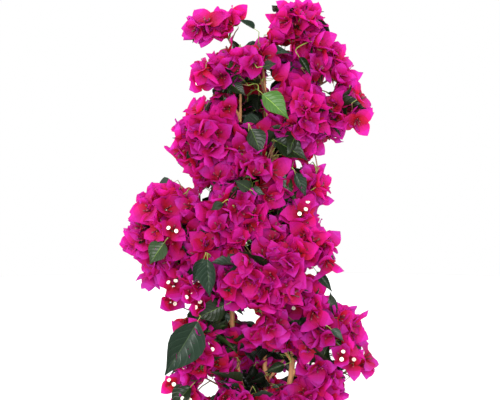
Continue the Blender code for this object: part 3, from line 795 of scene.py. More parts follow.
SLOPES = (OUTLINE_ENDS - OUTLINE)[:, 0] / ((OUTLINE_ENDS - OUTLINE)[:, 1] + 1e-9)


def seen(points):
    """Where the camera sees the points, on the plane y = 0."""
    points = np.array(points)
    shares = -EYE.y / (points[:, 1:2] - EYE.y)
    return np.array((EYE.x, EYE.z)) + (points[:, ::2] - np.array((EYE.x, EYE.z))) * shares


def clear(points, ovals, margin):
    """Whether none of the points is seen in an oval widened by the margin."""
    away = (seen(points)[:, None] - ovals[:, :2]) / (ovals[:, 2:] + margin)
    return (away ** 2).sum(axis=2).min() >= 1


def in_outline(points):
    """For each point, whether a line from it to the right crosses the outline an odd number of times."""
    x, z = seen(points).T[:, :, None]
    crossed = (OUTLINE[:, 1] > z) != (OUTLINE_ENDS[:, 1] > z)
    return (crossed & (OUTLINE[:, 0] + SLOPES * (z - OUTLINE[:, 1]) > x)).sum(axis=1) % 2 == 1


print(len(HOLES), "see-through places,", len(HOLLOWS), "hollows,", len(OUTLINE), "corners")

# %% [markdown]
# ## Blossoms
#
# A blossom is three bracts that open at their own angles round one heart. Its tips have to stay inside the
# crown's outline, its heart must not crowd another, and it must not close a see-through place or hide a leaf
# that is meant to show.

# %% One blossom
SEED = 11
BRACT_LENGTH = 0.0345
BLOSSOM_GAP = 0.0165         # between the hearts of two blossoms
OPENING = (math.radians(32), math.radians(70))       # of a bract from the blossom's axis
HEART_UP = 0.45              # how far above its foot a blossom's heart lies, as a share of a bract's length

Bract = namedtuple("Bract", "out along face length")
Blossom = namedtuple("Blossom", "mass base facing bracts opened")
hearts = {}                  # of the settled blossoms, by the cell of space that holds them


def random_direction(rng):
    return Vector([rng.gauss(0, 1) for _ in range(3)]).normalized()


def make_blossom(mass, middle, facing, rng, opened=False):
    """Three bracts round the facing, with their own lean, twist and size."""
    side, spin = facing.orthogonal().normalized(), rng.uniform(0, math.tau)
    size, lean = BRACT_LENGTH * rng.uniform(0.82, 1.12), rng.uniform(*OPENING)
    bracts = []
    for k in range(3):
        out = side.copy()
        out.rotate(Quaternion(facing, spin + math.tau * k / 3 + rng.uniform(-0.2, 0.2)))
        opening = lean + rng.uniform(-0.2, 0.2)
        along = facing * math.cos(opening) + out * math.sin(opening)
        face = facing * math.sin(opening) - out * math.cos(opening)
        face.rotate(Quaternion(along, rng.uniform(-0.35, 0.35)))
        bracts.append(Bract(out, along, face, size * rng.uniform(0.9, 1.1)))
    return Blossom(mass.name, middle - facing * size * HEART_UP, facing, bracts, opened)


def heart_of(blossom):
    return blossom.base + blossom.facing * BRACT_LENGTH * HEART_UP


def cell_of(point):
    return tuple(math.floor(part / BLOSSOM_GAP) for part in point)


def crowded(point, gap):
    """Whether a settled heart lies within the gap."""
    cell, span = cell_of(point), math.ceil(gap / BLOSSOM_GAP)
    steps = range(-span, span + 1)
    return any((point - other).length < gap for i in steps for j in steps for k in steps
               for other in hearts.get((cell[0] + i, cell[1] + j, cell[2] + k), ()))


def settle(blossom):
    heart = heart_of(blossom)
    hearts.setdefault(cell_of(heart), []).append(heart)


# %% Whether a blossom fits
TIP_REACH = 0.72             # the fullness, as a share of the limit, that a bract's tip needs
WOOD_ROOM = 0.008            # between a heart and the stems and boughs
HOLE_MARGIN = 0.0003
HOLLOW_MARGIN = 0.006        # for the hearts, whose bracts reach out round them
HOLLOW_BACK = 0.025          # how far back a hollow reaches
BOX_MARGIN = 0.002
SPOTS = ((0.3, -0.3), (0.3, 0.3), (0.55, -0.34), (0.55, 0), (0.55, 0.34), (0.8, -0.2), (0.8, 0.2), (1, 0))
low, high = cad_box
limb_points = np.array([point for line in [*stem_lines.values(), *filter(None, boughs.values())]
                        for a, b in zip(line, line[1:]) for point in (a, a.lerp(b, 0.5))])


def nearest(places, point):
    return np.linalg.norm(places - np.array(point), axis=1).min()


def spots_of(foot, along, face, length):
    """Points spread over a blade, its tip last."""
    across = along.cross(face)
    return [foot + (along * up + across * aside) * length for up, aside in SPOTS]


def fits(blossom, whole=True):
    """Whether the blossom has room. Without whole, only its tips have to be seen inside the outline."""
    heart = heart_of(blossom)
    if crowded(heart, BLOSSOM_GAP) or nearest(limb_points, heart) < WOOD_ROOM or hides_a_leaf(heart):
        return False
    if heart.y < HOLLOW_BACK and not clear([heart], HOLLOWS, HOLLOW_MARGIN):
        return False
    spots = [spot for bract in blossom.bracts
             for spot in spots_of(blossom.base, bract.along, bract.face, bract.length)]
    tips = spots[len(SPOTS) - 1::len(SPOTS)]
    front = [tip for tip in tips if tip.y < HOLLOW_BACK]
    if not clear(spots, HOLES, HOLE_MARGIN) or front and not clear(front, HOLLOWS, 0):
        return False
    if not all(low.y + BOX_MARGIN < tip.y < high.y - BOX_MARGIN and tip.z < high.z for tip in tips):
        return False
    return in_outline(spots if whole else tips).all() and (not whole or within(tips, TIP_REACH).all())


# %% [markdown]
# Some leaves and open flowers show at the front of the crown, and their places are listed. They come before
# the sprays, which then keep clear of them. Each place is given across and up, in millimetres. How far
# forward it lies follows from the mass behind it.

# %% Places of the leaves that show
# Each leaf: its foot and its tip, its breadth, tint and variant, and how far it stands before its mass.
SHOWN_LEAVES = (
    (-3, 634, 41, 596, 1.05, 3, 0, 4), (-54, 649, -31, 634, 1.2, 0, 0, 0), (-3, 679, 20, 683, 1.1, 0, 2, 2),
    (-17, 742, -42, 758, 0.6, 2, 3, 0), (3, 707, 44, 705, 0.6, 2, 1, -10),
    (58, 695, 78, 664, 0.55, 0, 3, 0), (-22, 577, -3, 535, 1.2, 0, 0, -10),
    (19, 557, 73, 528, 1.15, 0, 0, 0), (-165, 390, -190, 356, 1.35, 1, 0, 0),
    (-99, 367, -114, 324, 1.0, 2, 1, 0), (-93, 365, -90, 304, 0.85, 2, 3, 2),
    (-65, 287, -114, 265, 1.1, 0, 0, 0), (-71, 285, -82, 251, 1.2, 2, 2, 0),
    (-110, 262, -163, 172, 0.92, 2, 3, -8), (-122, 151, -156, 115, 1.15, 0, 1, -6),
    (-61, 290, -34, 265, 0.7, 2, 3, -10), (88, 338, 114, 305, 0.6, 2, 3, 0),
    (34, 180, 3, 169, 0.9, 0, 1, -10), (109, 249, 131, 231, 0.8, 2, 0, -4),
    (51, 504, 71, 465, 0.75, 2, 1, -10), (-24, 479, -48, 494, 1.2, 0, 0, -4),
    (-22, 477, 0, 472, 1.1, 2, 0, -4), (-68, 458, -87, 445, 1.1, 0, 2, -4),
)
STILL_AIR = -0.055           # how far forward a place lies where no mass is behind it
TIP_FORWARD = 0.008          # how far its tip stands before its foot
LEAF_COVER = 0.25            # share of a leaf's length that stays clear to either side of its middle line
COVER_MARGIN = 0.008         # and this much more
COVER_BACK = 0.012           # a blossom this far behind a leaf's foot doesn't hide it


def front_of(x, z):
    """The frontmost mass there, and how far forward its skin lies."""
    found = (None, STILL_AIR)
    for mass in MASSES:
        across = ((x - mass.centre[0]) / mass.half[0]) ** 2 + ((z - mass.centre[2]) / mass.half[2]) ** 2
        if across < 1:
            y = mass.centre[1] - mass.half[1] * math.sqrt(1 - across)
            found = min(found, (mass, y), key=lambda pair: pair[1])
    return found


ShownLeaf = namedtuple("ShownLeaf", "foot tip broad tint form")
shown_leaves = []
for *places, broad, tint, form, proud in SHOWN_LEAVES:
    x, z, tip_x, tip_z, proud = metres((*places, proud))
    y = front_of((x + tip_x) / 2, (z + tip_z) / 2)[1] - proud
    tip = Vector((tip_x, y - TIP_FORWARD, tip_z))
    shown_leaves.append(ShownLeaf(Vector((x, y, z)), tip, broad, tint, form))


def hides_a_leaf(heart):
    """Whether a blossom there would cover a leaf that is meant to show."""
    for leaf in shown_leaves:
        line = leaf.tip - leaf.foot
        share = min(max((heart - leaf.foot).dot(line) / line.length_squared, 0.1), 0.9)
        away = heart - (leaf.foot + line * share)
        room = line.length * leaf.broad * LEAF_COVER + COVER_MARGIN
        if heart.y < leaf.foot.y + COVER_BACK and Vector((away.x, away.z)).length < room:
            return True
    return False


print(len(shown_leaves), "leaves at chosen places")

# %% Flowers that show
SHOWN_STARS = (
    (-111, 326), (-124, 307), (-155, 288), (-107, 287), (-54, 227), (-92, 217), (-129, 192), (-109, 248),
    (-107, 656), (66, 438), (49, 282), (-153, 322), (-151, 414), (146, 188), (126, 205), (75, 186),
    (65, 460), (-156, 156), (-129, 135), (20, 462),
)
STAR_SUNK = 0.006            # how far into its mass an open blossom lies
STAR_TWIG = 0.032            # how far behind its middle its twig forks
TWIG_BEFORE = 0.45           # how far back a twig leaves its leader, for each metre that it goes aside
LEADER_PART = (0.10, 0.94)   # the part of a leader that has twigs

Spray = namedtuple("Spray", "mass root node blossoms")
sprays = []


def leader_root(leader, base):
    """Where a twig to that base leaves the leader: before the point nearest the base."""
    whole = leader[-1] - leader[0]
    along = (base - leader[0]).dot(whole) / whole.length_squared
    aside = (base - leader[0] - whole * along).length / whole.length
    first, last = LEADER_PART
    place = min(max(along - TWIG_BEFORE * aside, first), last) * (len(leader) - 1)
    k = min(int(place), len(leader) - 2)
    return leader[k].lerp(leader[k + 1], place - k)


def add_spray(mass, node, made):
    for blossom in made:
        settle(blossom)
    sprays.append(Spray(mass.name, leader_root(leaders[mass.name], node), node, made))


rng = random.Random(SEED)
for x, z in map(metres, SHOWN_STARS):
    mass, y = front_of(x, z)
    if mass is None:
        mass = min(MASSES, key=lambda other: math.dist((x, z), (other.centre[0], other.centre[2])))
    facing = (Vector((0, -1, 0.25)) + random_direction(rng) * 0.25).normalized()
    middle = Vector((x, y + STAR_SUNK, z))
    add_spray(mass, middle - facing * STAR_TWIG, [make_blossom(mass, middle, facing, rng, opened=True)])
print(len(sprays), "open blossoms at chosen places")

# %% [markdown]
# The points along the crown's edge are the tips of single bracts. So each corner of the outline that stands
# out gets a blossom with a bract that ends just there.

# %% Blossoms at the corners
CORNER_TRIES = 400
CORNER_INSIDE = 0.0012       # how far inside the corner the tip ends
CORNER_LEAN = 0.6            # cosine of the widest angle between the bract and the way out of the corner
CORNER_TWIG = 0.012
LOWEST_CORNER = 0.08


def seen_at(x, z, depth):
    """The point at that depth that the camera sees there."""
    return EYE + (Vector((x, 0, z)) - EYE) * (depth - EYE.y) / -EYE.y


def corner_blossom(corner, out, rng):
    """A blossom with one tip at the corner, or None where there is no room."""
    mass = min(MASSES[:FRONT_MASSES], key=lambda other: math.hypot(
        (corner[0] - other.centre[0]) / other.half[0], (corner[1] - other.centre[2]) / other.half[2]))
    for _ in range(CORNER_TRIES):
        depth = mass.centre[1] + rng.uniform(-0.6, 0.4) * mass.half[1]
        facing = (out + Vector((0, -0.7, 0)) + random_direction(rng) * 0.6).normalized()
        made = make_blossom(mass, Vector(), facing, rng)
        outer = max(made.bracts, key=lambda bract: bract.along.dot(out))
        if outer.along.dot(out) < CORNER_LEAN:
            continue
        tip = seen_at(*corner, depth) - out * CORNER_INSIDE
        made = made._replace(base=tip - outer.along * outer.length)
        if fits(made, whole=False):
            return mass, made
    return None


for k, corner in enumerate(OUTLINE):
    before, after = corner - OUTLINE[k - 1], OUTLINE_ENDS[k] - corner
    if before[0] * after[1] - before[1] * after[0] < 0 and corner[1] > LOWEST_CORNER:
        away = before / np.linalg.norm(before) - after / np.linalg.norm(after)
        made = corner_blossom(corner, Vector((away[0], 0, away[1])).normalized(), rng)
        if made:
            mass, blossom = made
            add_spray(mass, blossom.base - blossom.facing * CORNER_TWIG, [blossom])
print(len(sprays), "blossoms with those at the corners")

# %% [markdown]
# ## Sprays
#
# Blossom comes in sprays. A twig leaves the leader, ends near the skin of the mass, and carries three to five
# blossoms: one that looks along the twig, and the rest leaning out round it. Directions come from an even
# spiral, so no side stays bare. A spray that finds no room on the skin tries deeper in, which fills the mass.
# The blossoms of the front are closed but for the chosen ones, and a few of those behind are open.

# %% Blossoms of a spray
SPRAY_RING = 0.018           # how far the outer blossoms of a spray stand from its middle
SPRAY_LEAN = math.radians(46)
BLOSSOM_TRIES = 5
OPEN_SHARE = 0.04            # of the blossoms behind, how many have open flowers


def blossoms_of_spray(mass, skin, facing, rng):
    """The blossoms round one spray's middle, those that find room."""
    found, outer = [], rng.choice((2, 3, 3, 4))
    side = facing.orthogonal().normalized()
    side.rotate(Quaternion(facing, rng.uniform(0, math.tau)))
    for k in range(outer + 1):
        for _ in range(BLOSSOM_TRIES):
            if k == 0:
                lean, middle = facing, skin - facing * BRACT_LENGTH * rng.uniform(0.3, 0.7)
            else:
                out = side.copy()
                out.rotate(Quaternion(facing, math.tau * (k + rng.uniform(-0.25, 0.25)) / outer))
                angle = SPRAY_LEAN * rng.uniform(0.3, 1.5)
                lean = facing * math.cos(angle) + out * math.sin(angle)
                middle = (skin - facing * BRACT_LENGTH * rng.uniform(0.4, 1.0)
                          + out * SPRAY_RING * rng.uniform(0.8, 1.4))
            lean = (lean + random_direction(rng) * 0.35).normalized()
            opened = rng.random() < OPEN_SHARE and middle.y > 0
            made = make_blossom(mass, middle, lean, rng, opened)
            if fits(made):
                settle(made)
                found.append(made)
                break
    return found


# %% The skin, and one spray on it
SKIN_FROM, SKIN_STEPS = 0.6, 14         # where the search for the skin starts, as a share of a mass's reach
SPRAY_TWIG = 0.010           # how far below its blossoms' feet a twig forks
PLANT_OUTWARD = 0.5          # how much a spray faces away from the whole plant's axis
AXIS = Vector((-0.01, 0.015, 0))


def skin_of(mass, out):
    """The crown's skin in that direction from the mass's centre, where the mass is still the nearest one."""
    whole = reach(mass, out)
    points = [Vector(mass.centre) + out * whole * (SKIN_FROM + k / SKIN_STEPS) for k in range(SKIN_STEPS)]
    own = depths(points).argmin(axis=1) == MASSES.index(mass)
    inside = np.append(own & within(points, 1), False)
    return points[inside.argmin() - 1] if inside[0] else None


def spray_facing(skin, rng):
    aside = Vector((skin.x - AXIS.x, skin.y - AXIS.y, 0)).normalized()
    facing = outward_from(skin) + aside * PLANT_OUTWARD + UP * 0.12 + random_direction(rng) * 0.4
    return facing.normalized()


def grow_spray(mass, skin, rng):
    """A spray at that place on the skin, if it finds room. Its twig keeps out of the see-through places."""
    facing = spray_facing(skin, rng)
    node = skin - facing * (BRACT_LENGTH + SPRAY_TWIG)
    root = leader_root(leaders[mass.name], node)
    if not clear([root.lerp(node, share) for share in (0.25, 0.5, 0.75, 1)], HOLES, 0):
        return False
    made = blossoms_of_spray(mass, skin, facing, rng)
    if made:
        sprays.append(Spray(mass.name, root, node, made))
    return bool(made)


# %% Grow the sprays
GOLDEN = math.pi * (3 - math.sqrt(5))
SPRAY_TRIES = 30             # the later ones stray further from the direction, and go deeper
SPRAYS_PER_ROW = 1.9         # sprays for each one that a mass's row gives


def directions(count, rng):
    """Directions spread evenly over a ball, from a spiral with a random start."""
    start, tilt = rng.uniform(0, math.tau), Quaternion(random_direction(rng), rng.uniform(0, 1))
    for k in range(count):
        z = 1 - 2 * (k + 0.5) / count
        ring = math.sqrt(1 - z * z)
        yield tilt @ Vector((ring * math.cos(start + GOLDEN * k), ring * math.sin(start + GOLDEN * k), z))


for mass in MASSES:
    for direction in directions(round(mass.blossoms * SPRAYS_PER_ROW), rng):
        for attempt in range(SPRAY_TRIES):
            stray = attempt / SPRAY_TRIES
            out = (direction + random_direction(rng) * (0.1 + 0.8 * stray)).normalized()
            skin = skin_of(mass, out)
            if not skin:
                continue
            deeper = skin.lerp(Vector(mass.centre), rng.uniform(0, 0.1 + 0.3 * stray))
            if grow_spray(mass, deeper, rng):
                break
print(len(sprays), "sprays with", sum(len(spray.blossoms) for spray in sprays), "blossoms")

# %% [markdown]
# What still looks bare gets more sprays. The crown is looked at from all sides, along lines a little apart.
# Where a line meets the skin with no blossom near, the nearest mass grows a spray there.

# %% Sprays for the bare places
LOOKS = 12                   # sides from which the crown is looked at
LINE_GAP = 0.020             # between the lines
MARCH = 0.007                # step along a line
BARE = 0.0270                # a place is bare with no heart this near
BARE_TRIES = 6
BARE_DEPTH = 0.010           # how far under the skin that is measured
START = 0.26                 # how far from the middle the lines start
WIDE, LOWEST = 0.24, 0.06    # how far to either side they go, and the lowest
SKIN_SHARE = 0.9             # of the crown's limit, where a line meets it


def first_skin(place, heading, length):
    """Where a line from there first meets the crown."""
    points = [place + heading * MARCH * k for k in range(int(length / MARCH))]
    met = within(points, SKIN_SHARE) & in_outline(points)
    return points[met.argmax()] if met.any() else None


middle = (low + high) / 2
for look in range(LOOKS):
    turn = math.tau * look / LOOKS
    heading, aside = Vector((math.sin(turn), math.cos(turn), 0)), Vector((math.cos(turn), -math.sin(turn), 0))
    for i in range(int(2 * WIDE / LINE_GAP)):
        for k in range(int((high.z - LOWEST) / LINE_GAP)):
            across = (i + rng.uniform(0, 1)) * LINE_GAP - WIDE
            place = Vector((middle.x, middle.y, LOWEST + (k + rng.uniform(0, 1)) * LINE_GAP)) + aside * across
            skin = first_skin(place - heading * START, heading, 2 * START)
            if skin is None or crowded(skin + heading * BARE_DEPTH, BARE):
                continue
            mass = MASSES[depths([skin]).argmin()]
            for _ in range(BARE_TRIES):
                if grow_spray(mass, skin + heading * rng.uniform(0, 0.012), rng):
                    break
print(len(sprays), "sprays with", sum(len(spray.blossoms) for spray in sprays), "blossoms")

# %% [markdown]
# ## Shader maths
#
# A finish is written as sums. A Value wraps an output socket, and +, -, * and ** on it add Math nodes. Every
# other node comes from one method that takes the node's type, its settings and what its sockets get. Wired by
# hand, the same nodes would fill a page for each finish.

# %% Values
class Value:
    """An output socket that can be reckoned with."""

    def __init__(self, finish, socket):
        self.finish, self.socket = finish, socket

    def maths(self, operation, first, second):
        return self.finish.node("ShaderNodeMath", {"operation": operation}, {0: first, 1: second})

    def __add__(self, other):
        return self.maths("ADD", self, other)

    def __sub__(self, other):
        return self.maths("SUBTRACT", self, other)

    def __rsub__(self, other):
        return self.maths("SUBTRACT", other, self)

    def __mul__(self, other):
        return self.maths("MULTIPLY", self, other)

    def __pow__(self, other):
        return self.maths("POWER", self, other)

    def wave(self):
        return self.maths("SINE", self, 0.0)

    def size(self):
        return self.maths("ABSOLUTE", self, 0.0)

    __radd__, __rmul__ = __add__, __mul__


# %% Finishes
class Finish:
    """A material that is being made."""

    def __init__(self, name, **constants):
        self.material = bpy.data.materials.new(name)
        self.material.use_nodes = True
        self.tree = self.material.node_tree
        self.shader = self.tree.nodes["Principled BSDF"]
        for socket, constant in constants.items():
            self.shader.inputs[socket.replace("_", " ")].default_value = constant

    def node(self, kind, settings, inputs, output=0):
        made = self.tree.nodes.new(kind)
        for name, setting in settings.items():
            setattr(made, name, setting)
        for socket, value in inputs.items():
            self.feed(made.inputs[socket], value)
        return Value(self, made.outputs[output])

    def feed(self, socket, value):
        if isinstance(value, Value):
            self.tree.links.new(value.socket, socket)
        else:
            socket.default_value = value

    def place(self, output="Object"):
        return self.node("ShaderNodeTexCoord", {}, {}, output)

    def flat_place(self):
        """From a blade's flat map: how far up it a place lies, and how far from its middle line."""
        across, along = (self.node("ShaderNodeSeparateXYZ", {}, {0: self.place("UV")}, k) for k in range(2))
        return along, (across - 0.5).size()

    def noise(self, scale, detail=3.0, stretch=(1, 1, 1)):
        where = self.node("ShaderNodeMapping", {}, {"Vector": self.place(), "Scale": stretch})
        return self.node("ShaderNodeTexNoise", {}, {"Vector": where, "Scale": scale, "Detail": detail}, "Fac")

    def between(self, low, high, share):
        """The colour this share of the way from low to high."""
        return self.node("ShaderNodeMix", {"data_type": "RGBA"}, {0: share, 6: low, 7: high}, 2)

    def colour(self, value):
        self.feed(self.shader.inputs["Base Color"], value)

    def relief(self, height, strength, distance):
        bump = self.node("ShaderNodeBump", {}, {"Height": height, "Strength": strength, "Distance": distance})
        self.feed(self.shader.inputs["Normal"], bump)

    def let_light_through(self, colour, share):
        """Mixes in the light that comes through from behind."""
        through = self.node("ShaderNodeBsdfTranslucent", {}, {"Color": colour})
        surface = Value(self, self.shader.outputs[0])
        mix = self.node("ShaderNodeMixShader", {}, {0: share, 1: surface, 2: through})
        self.feed(self.tree.nodes["Material Output"].inputs["Surface"], mix)


# %% Colours
def paint(red, green, blue):
    """A colour given in 0 to 255, as the shader's own linear values."""
    shares = [channel / 255 for channel in (red, green, blue)]
    return *(s / 12.92 if s < 0.04045 else ((s + 0.055) / 1.055) ** 2.4 for s in shares), 1.0


def toned(shade, share):
    """The colour, made this much brighter or darker."""
    return *(channel * share for channel in shade[:3]), 1.0


# %% [markdown]
# ## Colour of the bracts
#
# The bracts run from crimson in the throat to magenta at the tip, and older sprays are more violet. The
# crimson of the throat is partly the bracts' own colour and partly painted shade, where they close round the
# heart. Each tint is dealt to a whole spray. In each zone the colour runs over into that of the next one,
# with fine veins and a light mottle on it. Thin bracts also glow with the light behind them, which a plain
# diffuse surface can't.

# %% Bract finishes
# the throat colours are partly the bracts' own crimson and partly painted shade in the heart of the blossom
TINTS = (                    # throat, heart, blade
    ((176, 24, 30), (194, 20, 110), (200, 30, 151)),
    ((170, 20, 36), (190, 18, 118), (196, 38, 157)),
    ((180, 26, 28), (196, 20, 102), (203, 26, 143)),
    ((166, 18, 40), (188, 18, 122), (192, 46, 163)),
)
GLOW = 0.55                  # share of the light that comes through a bract
ZONE_NAMES = ("throat", "heart", "blade")


def bract_finish(tint, zone):
    shades = [paint(*shade) for shade in TINTS[tint]]
    finish = Finish(f"bract {ZONE_NAMES[zone]} {tint}", Roughness=0.62, Specular_IOR_Level=0.15)
    along, across = finish.flat_place()
    veins = (((along - across * 0.9) * 62).wave() * 0.5 + 0.5) ** 6
    clamped = {"operation": "MULTIPLY", "use_clamp": True}
    rib = 1 - finish.node("ShaderNodeMath", clamped, {0: across, 1: 30.0})
    mottle = finish.noise(90)
    begin = ZONE_ENDS[zone - 1] if zone else 0
    share = ((along - begin) * (1 / (ZONE_ENDS[zone] - begin))) ** 1.5
    graded = finish.between(shades[zone], shades[min(zone + 1, BLADE)], share)
    marks = mottle * 0.5 + veins * 0.12 + rib * 0.3 - 0.1
    finish.colour(finish.between(graded, toned(shades[zone], 0.6), marks))
    finish.relief(veins + rib * 2 + mottle * 1.5, 0.35, 0.0006)
    finish.let_light_through(shades[zone], GLOW)
    return finish.material


bract_finishes = [bract_finish(tint, zone) for tint in range(len(TINTS)) for zone in (THROAT, HEART, BLADE)]
print(len(bract_finishes), "bract finishes")

# %% [markdown]
# ## Colour of leaves, flowers and bark
#
# Leaves are dark and glossy, with a yellow-green midrib, and young twigs are yellow-green too. Old wood is a
# warm tan with darker, tall streaks.

# %% Leaf finishes
LEAF_TINTS = (               # skin, midrib
    ((17, 28, 12), (80, 104, 36)),
    ((28, 45, 18), (108, 136, 48)),
    # the third tint is greyer: partly the leaves' own colour and partly painted sheen of their gloss
    ((31, 44, 34), (70, 88, 56)),
    ((50, 82, 30), (140, 170, 66)),
    # the last tint, far darker than the others, is painted shade for the leaves in the hollows
    ((9, 14, 7), (34, 46, 20)),
)
LEAF_ZONES = ("skin", "rib")


def leaf_finish(tint, zone):
    skin, rib = (paint(*shade) for shade in LEAF_TINTS[tint])
    finish = Finish(f"leaf {LEAF_ZONES[zone]} {tint}", Roughness=0.30, Specular_IOR_Level=0.2)
    along, across = finish.flat_place()
    veins = (((along - across * 0.8) * 44).wave() * 0.5 + 0.5) ** 8
    mottle = finish.noise(60)
    if zone == SKIN:
        finish.colour(finish.between(skin, toned(skin, 1.5), veins * 0.4 + mottle * 0.5))
    else:
        finish.colour(finish.between(rib, skin, along * 0.5))
    finish.relief(mottle - veins * 0.5, 0.6, 0.0016)
    return finish.material


leaf_finishes = [leaf_finish(tint, zone) for tint in range(len(LEAF_TINTS)) for zone in (SKIN, RIB)]

# %% Flower finishes
# the tube colours are partly the flowers' own red and partly painted shade deep in the blossom
FLOWER_PAINTS = (("tube", (92, 16, 34)), ("tube tip", (128, 28, 50)), ("star", (238, 233, 214)),
                 ("eye of the star", (196, 150, 48)))


def flower_finish(name, shade):
    finish = Finish(name, Roughness=0.5)
    shade = paint(*shade)
    finish.colour(finish.between(shade, toned(shade, 0.8), finish.noise(300)))
    return finish.material


flower_finishes = [flower_finish(name, shade) for name, shade in FLOWER_PAINTS]
print(len(leaf_finishes), "leaf finishes and", len(flower_finishes), "for the flowers")


# %% Bark and twig finishes
def wood_finish(name, pale, dark, ridge):
    finish = Finish(name, Roughness=0.7)
    streaks = finish.noise(260, 4, (1, 1, 0.12))
    patches = finish.noise(38, 2)
    finish.colour(finish.between(paint(*pale), paint(*dark), streaks * 1.1 + patches * 0.7 - 0.45))
    finish.relief(streaks, 0.6, ridge)
    return finish.material


bark_finish = wood_finish("tan bark", (206, 150, 98), (112, 70, 44), 0.0010)
twig_finishes = [wood_finish("brown twig", (128, 92, 62), (64, 44, 32), 0.0004),
                 wood_finish("green twig", (136, 158, 62), (88, 104, 44), 0.0003)]
print(bark_finish.name, *(finish.name for finish in twig_finishes), sep=", ")

# %% [markdown]
# ## Put the sprays together
#
# Each blossom is three bracts round its heart, each with a flower before it. An open blossom shows two stars
# and one flower that is still closed. The bracts go to one heap for each storey of the crown.

# %% Bracts and flowers of each blossom
TUBE_LENGTH = 0.0150
TUBE_LEAN, TUBE_STRAY = 0.35, 0.08      # how far a tube leans to its bract, and anywhere
STAR_ACROSS = 0.0070
STARS = 2                    # open flowers in an open blossom
STAR_UP = 1.04               # where a star sits, as a share of its tube's length
STOREYS = (("top", 0.62), ("upper", 0.47), ("middle", 0.32), ("low", 0.20), ("foot", -1.0))


def storey(mass):
    return next(name for name, height in STOREYS if mass.centre[2] > height)


rng = random.Random(SEED + 1)
masses = {mass.name: mass for mass in MASSES}
bract_heaps = {name: Heap() for name, _ in STOREYS}
flower_heap, twig_heap, leaf_heap = Heap(), Heap(), Heap()
BROWN, GREEN = 0, 1
for spray in sprays:
    tint = rng.randrange(len(TINTS))
    for blossom in spray.blossoms:
        heap = bract_heaps[storey(masses[blossom.mass])]
        for k, bract in enumerate(blossom.bracts):
            place = frame_of(blossom.base + bract.out * 0.001, bract.along, bract.face, bract.length)
            heap.add(rng.choice(bract_patterns), place, tint * len(ZONE_NAMES))
            stands = blossom.facing + bract.out * TUBE_LEAN + random_direction(rng) * TUBE_STRAY
            stands.normalize()
            tall = TUBE_LENGTH * rng.uniform(0.8, 1.1)
            foot = blossom.base + bract.out * 0.002
            upright = stands.to_track_quat("Z", "Y").to_matrix().to_4x4()
            tube_place = Matrix.Translation(foot) @ upright
            flower_heap.add(tube_pattern, tube_place @ Matrix.Scale(tall, 4))
            if blossom.opened and k < STARS:
                star_place = Matrix.Translation(foot + stands * tall * STAR_UP) @ upright
                flower_heap.add(star_pattern, star_place @ Matrix.Scale(STAR_ACROSS, 4))
print(len(flower_heap.points), "flowers and stars")

# %% [markdown]
# The wood of a crown is there before its blossom: leaders, a twig to each spray, and a thin stalk to each
# blossom. They are bent tubes of few sides, laid as points, because there are thousands of them.

# %% Twigs and stalks
TWIG_RADIUS = 0.0009
STALK_RADIUS = 0.0005
LEADER_TIP = 0.0012
SHORT_TWIG = 0.03            # a shorter twig is still green


def add_twig(line, first, last, sides, finish):
    twig_heap.add(stick(line, taper(first, last, len(line)), sides, finish), Matrix())


twig_lines = {mass.name: [leaders[mass.name]] for mass in MASSES}
for mass in MASSES:
    line = leaders[mass.name]
    add_twig(line, LEADER_RADIUS, LEADER_TIP, 6, BROWN)
for spray in sprays:
    leader = leaders[spray.mass]
    span = (spray.node - spray.root).length
    heading = (leader[-1] - leader[0]).normalized()
    line = bend(spray.root, spray.root.lerp(spray.node, 0.5) + heading * span * 0.18, spray.node, 3)
    twig_lines[spray.mass].append(line)
    add_twig(line, TWIG_RADIUS * 1.3, TWIG_RADIUS, 5, GREEN if span < SHORT_TWIG else BROWN)
    for blossom in spray.blossoms:
        reach_out = (blossom.base - spray.node).length
        bow = blossom.base - blossom.facing * reach_out * 0.5
        line = bend(spray.node, bow, blossom.base, 3)
        add_twig(line, STALK_RADIUS * 1.4, STALK_RADIUS, 4, GREEN)
print(len(twig_heap.points), "twigs and stalks")

# %% [markdown]
# ## Leaves on the twigs
#
# Most leaves sit along the twigs. In front they keep deep inside the crown, where they darken it behind the
# bracts, except in the masses with more leaves than sprays. Behind they come out to the skin.

# %% Leaves by the rule
LEAF_LENGTH = 0.056
LEAVES_PER_ROW = 4.5
LEAF_TRIES = 30
INNER_LEAF, SKIN_LEAF = 1.35, 0.95      # the fullness that a leaf's tip needs, inside or near the skin
PETIOLE = 0.010
LEAF_MARGIN = 0.001          # between a leaf and a see-through place
LEAF_HOLLOW = 0.004          # and a hollow


def leaf_fits(root, along, face, length, least):
    """Whether a leaf there keeps to the crown and leaves the see-through places and hollows open."""
    spots = spots_of(root + along * PETIOLE, along, face, length)
    edge_on = abs(face.dot(along)) > 0.9
    if edge_on or not low.y < spots[-1].y < high.y:
        return False
    if not clear(spots, HOLES, LEAF_MARGIN) or not in_outline(spots).all() or fullness(spots[-1:]) < least:
        return False
    middle = spots[3]
    return middle.y > HOLLOW_BACK or clear([middle], HOLLOWS, LEAF_HOLLOW)


def add_leaf(root, along, face, length, tint, pattern, broad=1.0):
    """A leaf on its stalk."""
    foot = root + along * PETIOLE
    place = frame_of(foot, along, face, length) @ Matrix.Diagonal((broad, 1, 1, 1))
    leaf_heap.add(pattern, place, tint * len(LEAF_ZONES))
    line = [root, root.lerp(foot, 0.5) + face * 0.001, foot + along * length * 0.04]
    add_twig(line, 0.0007, 0.0005, 4, GREEN)


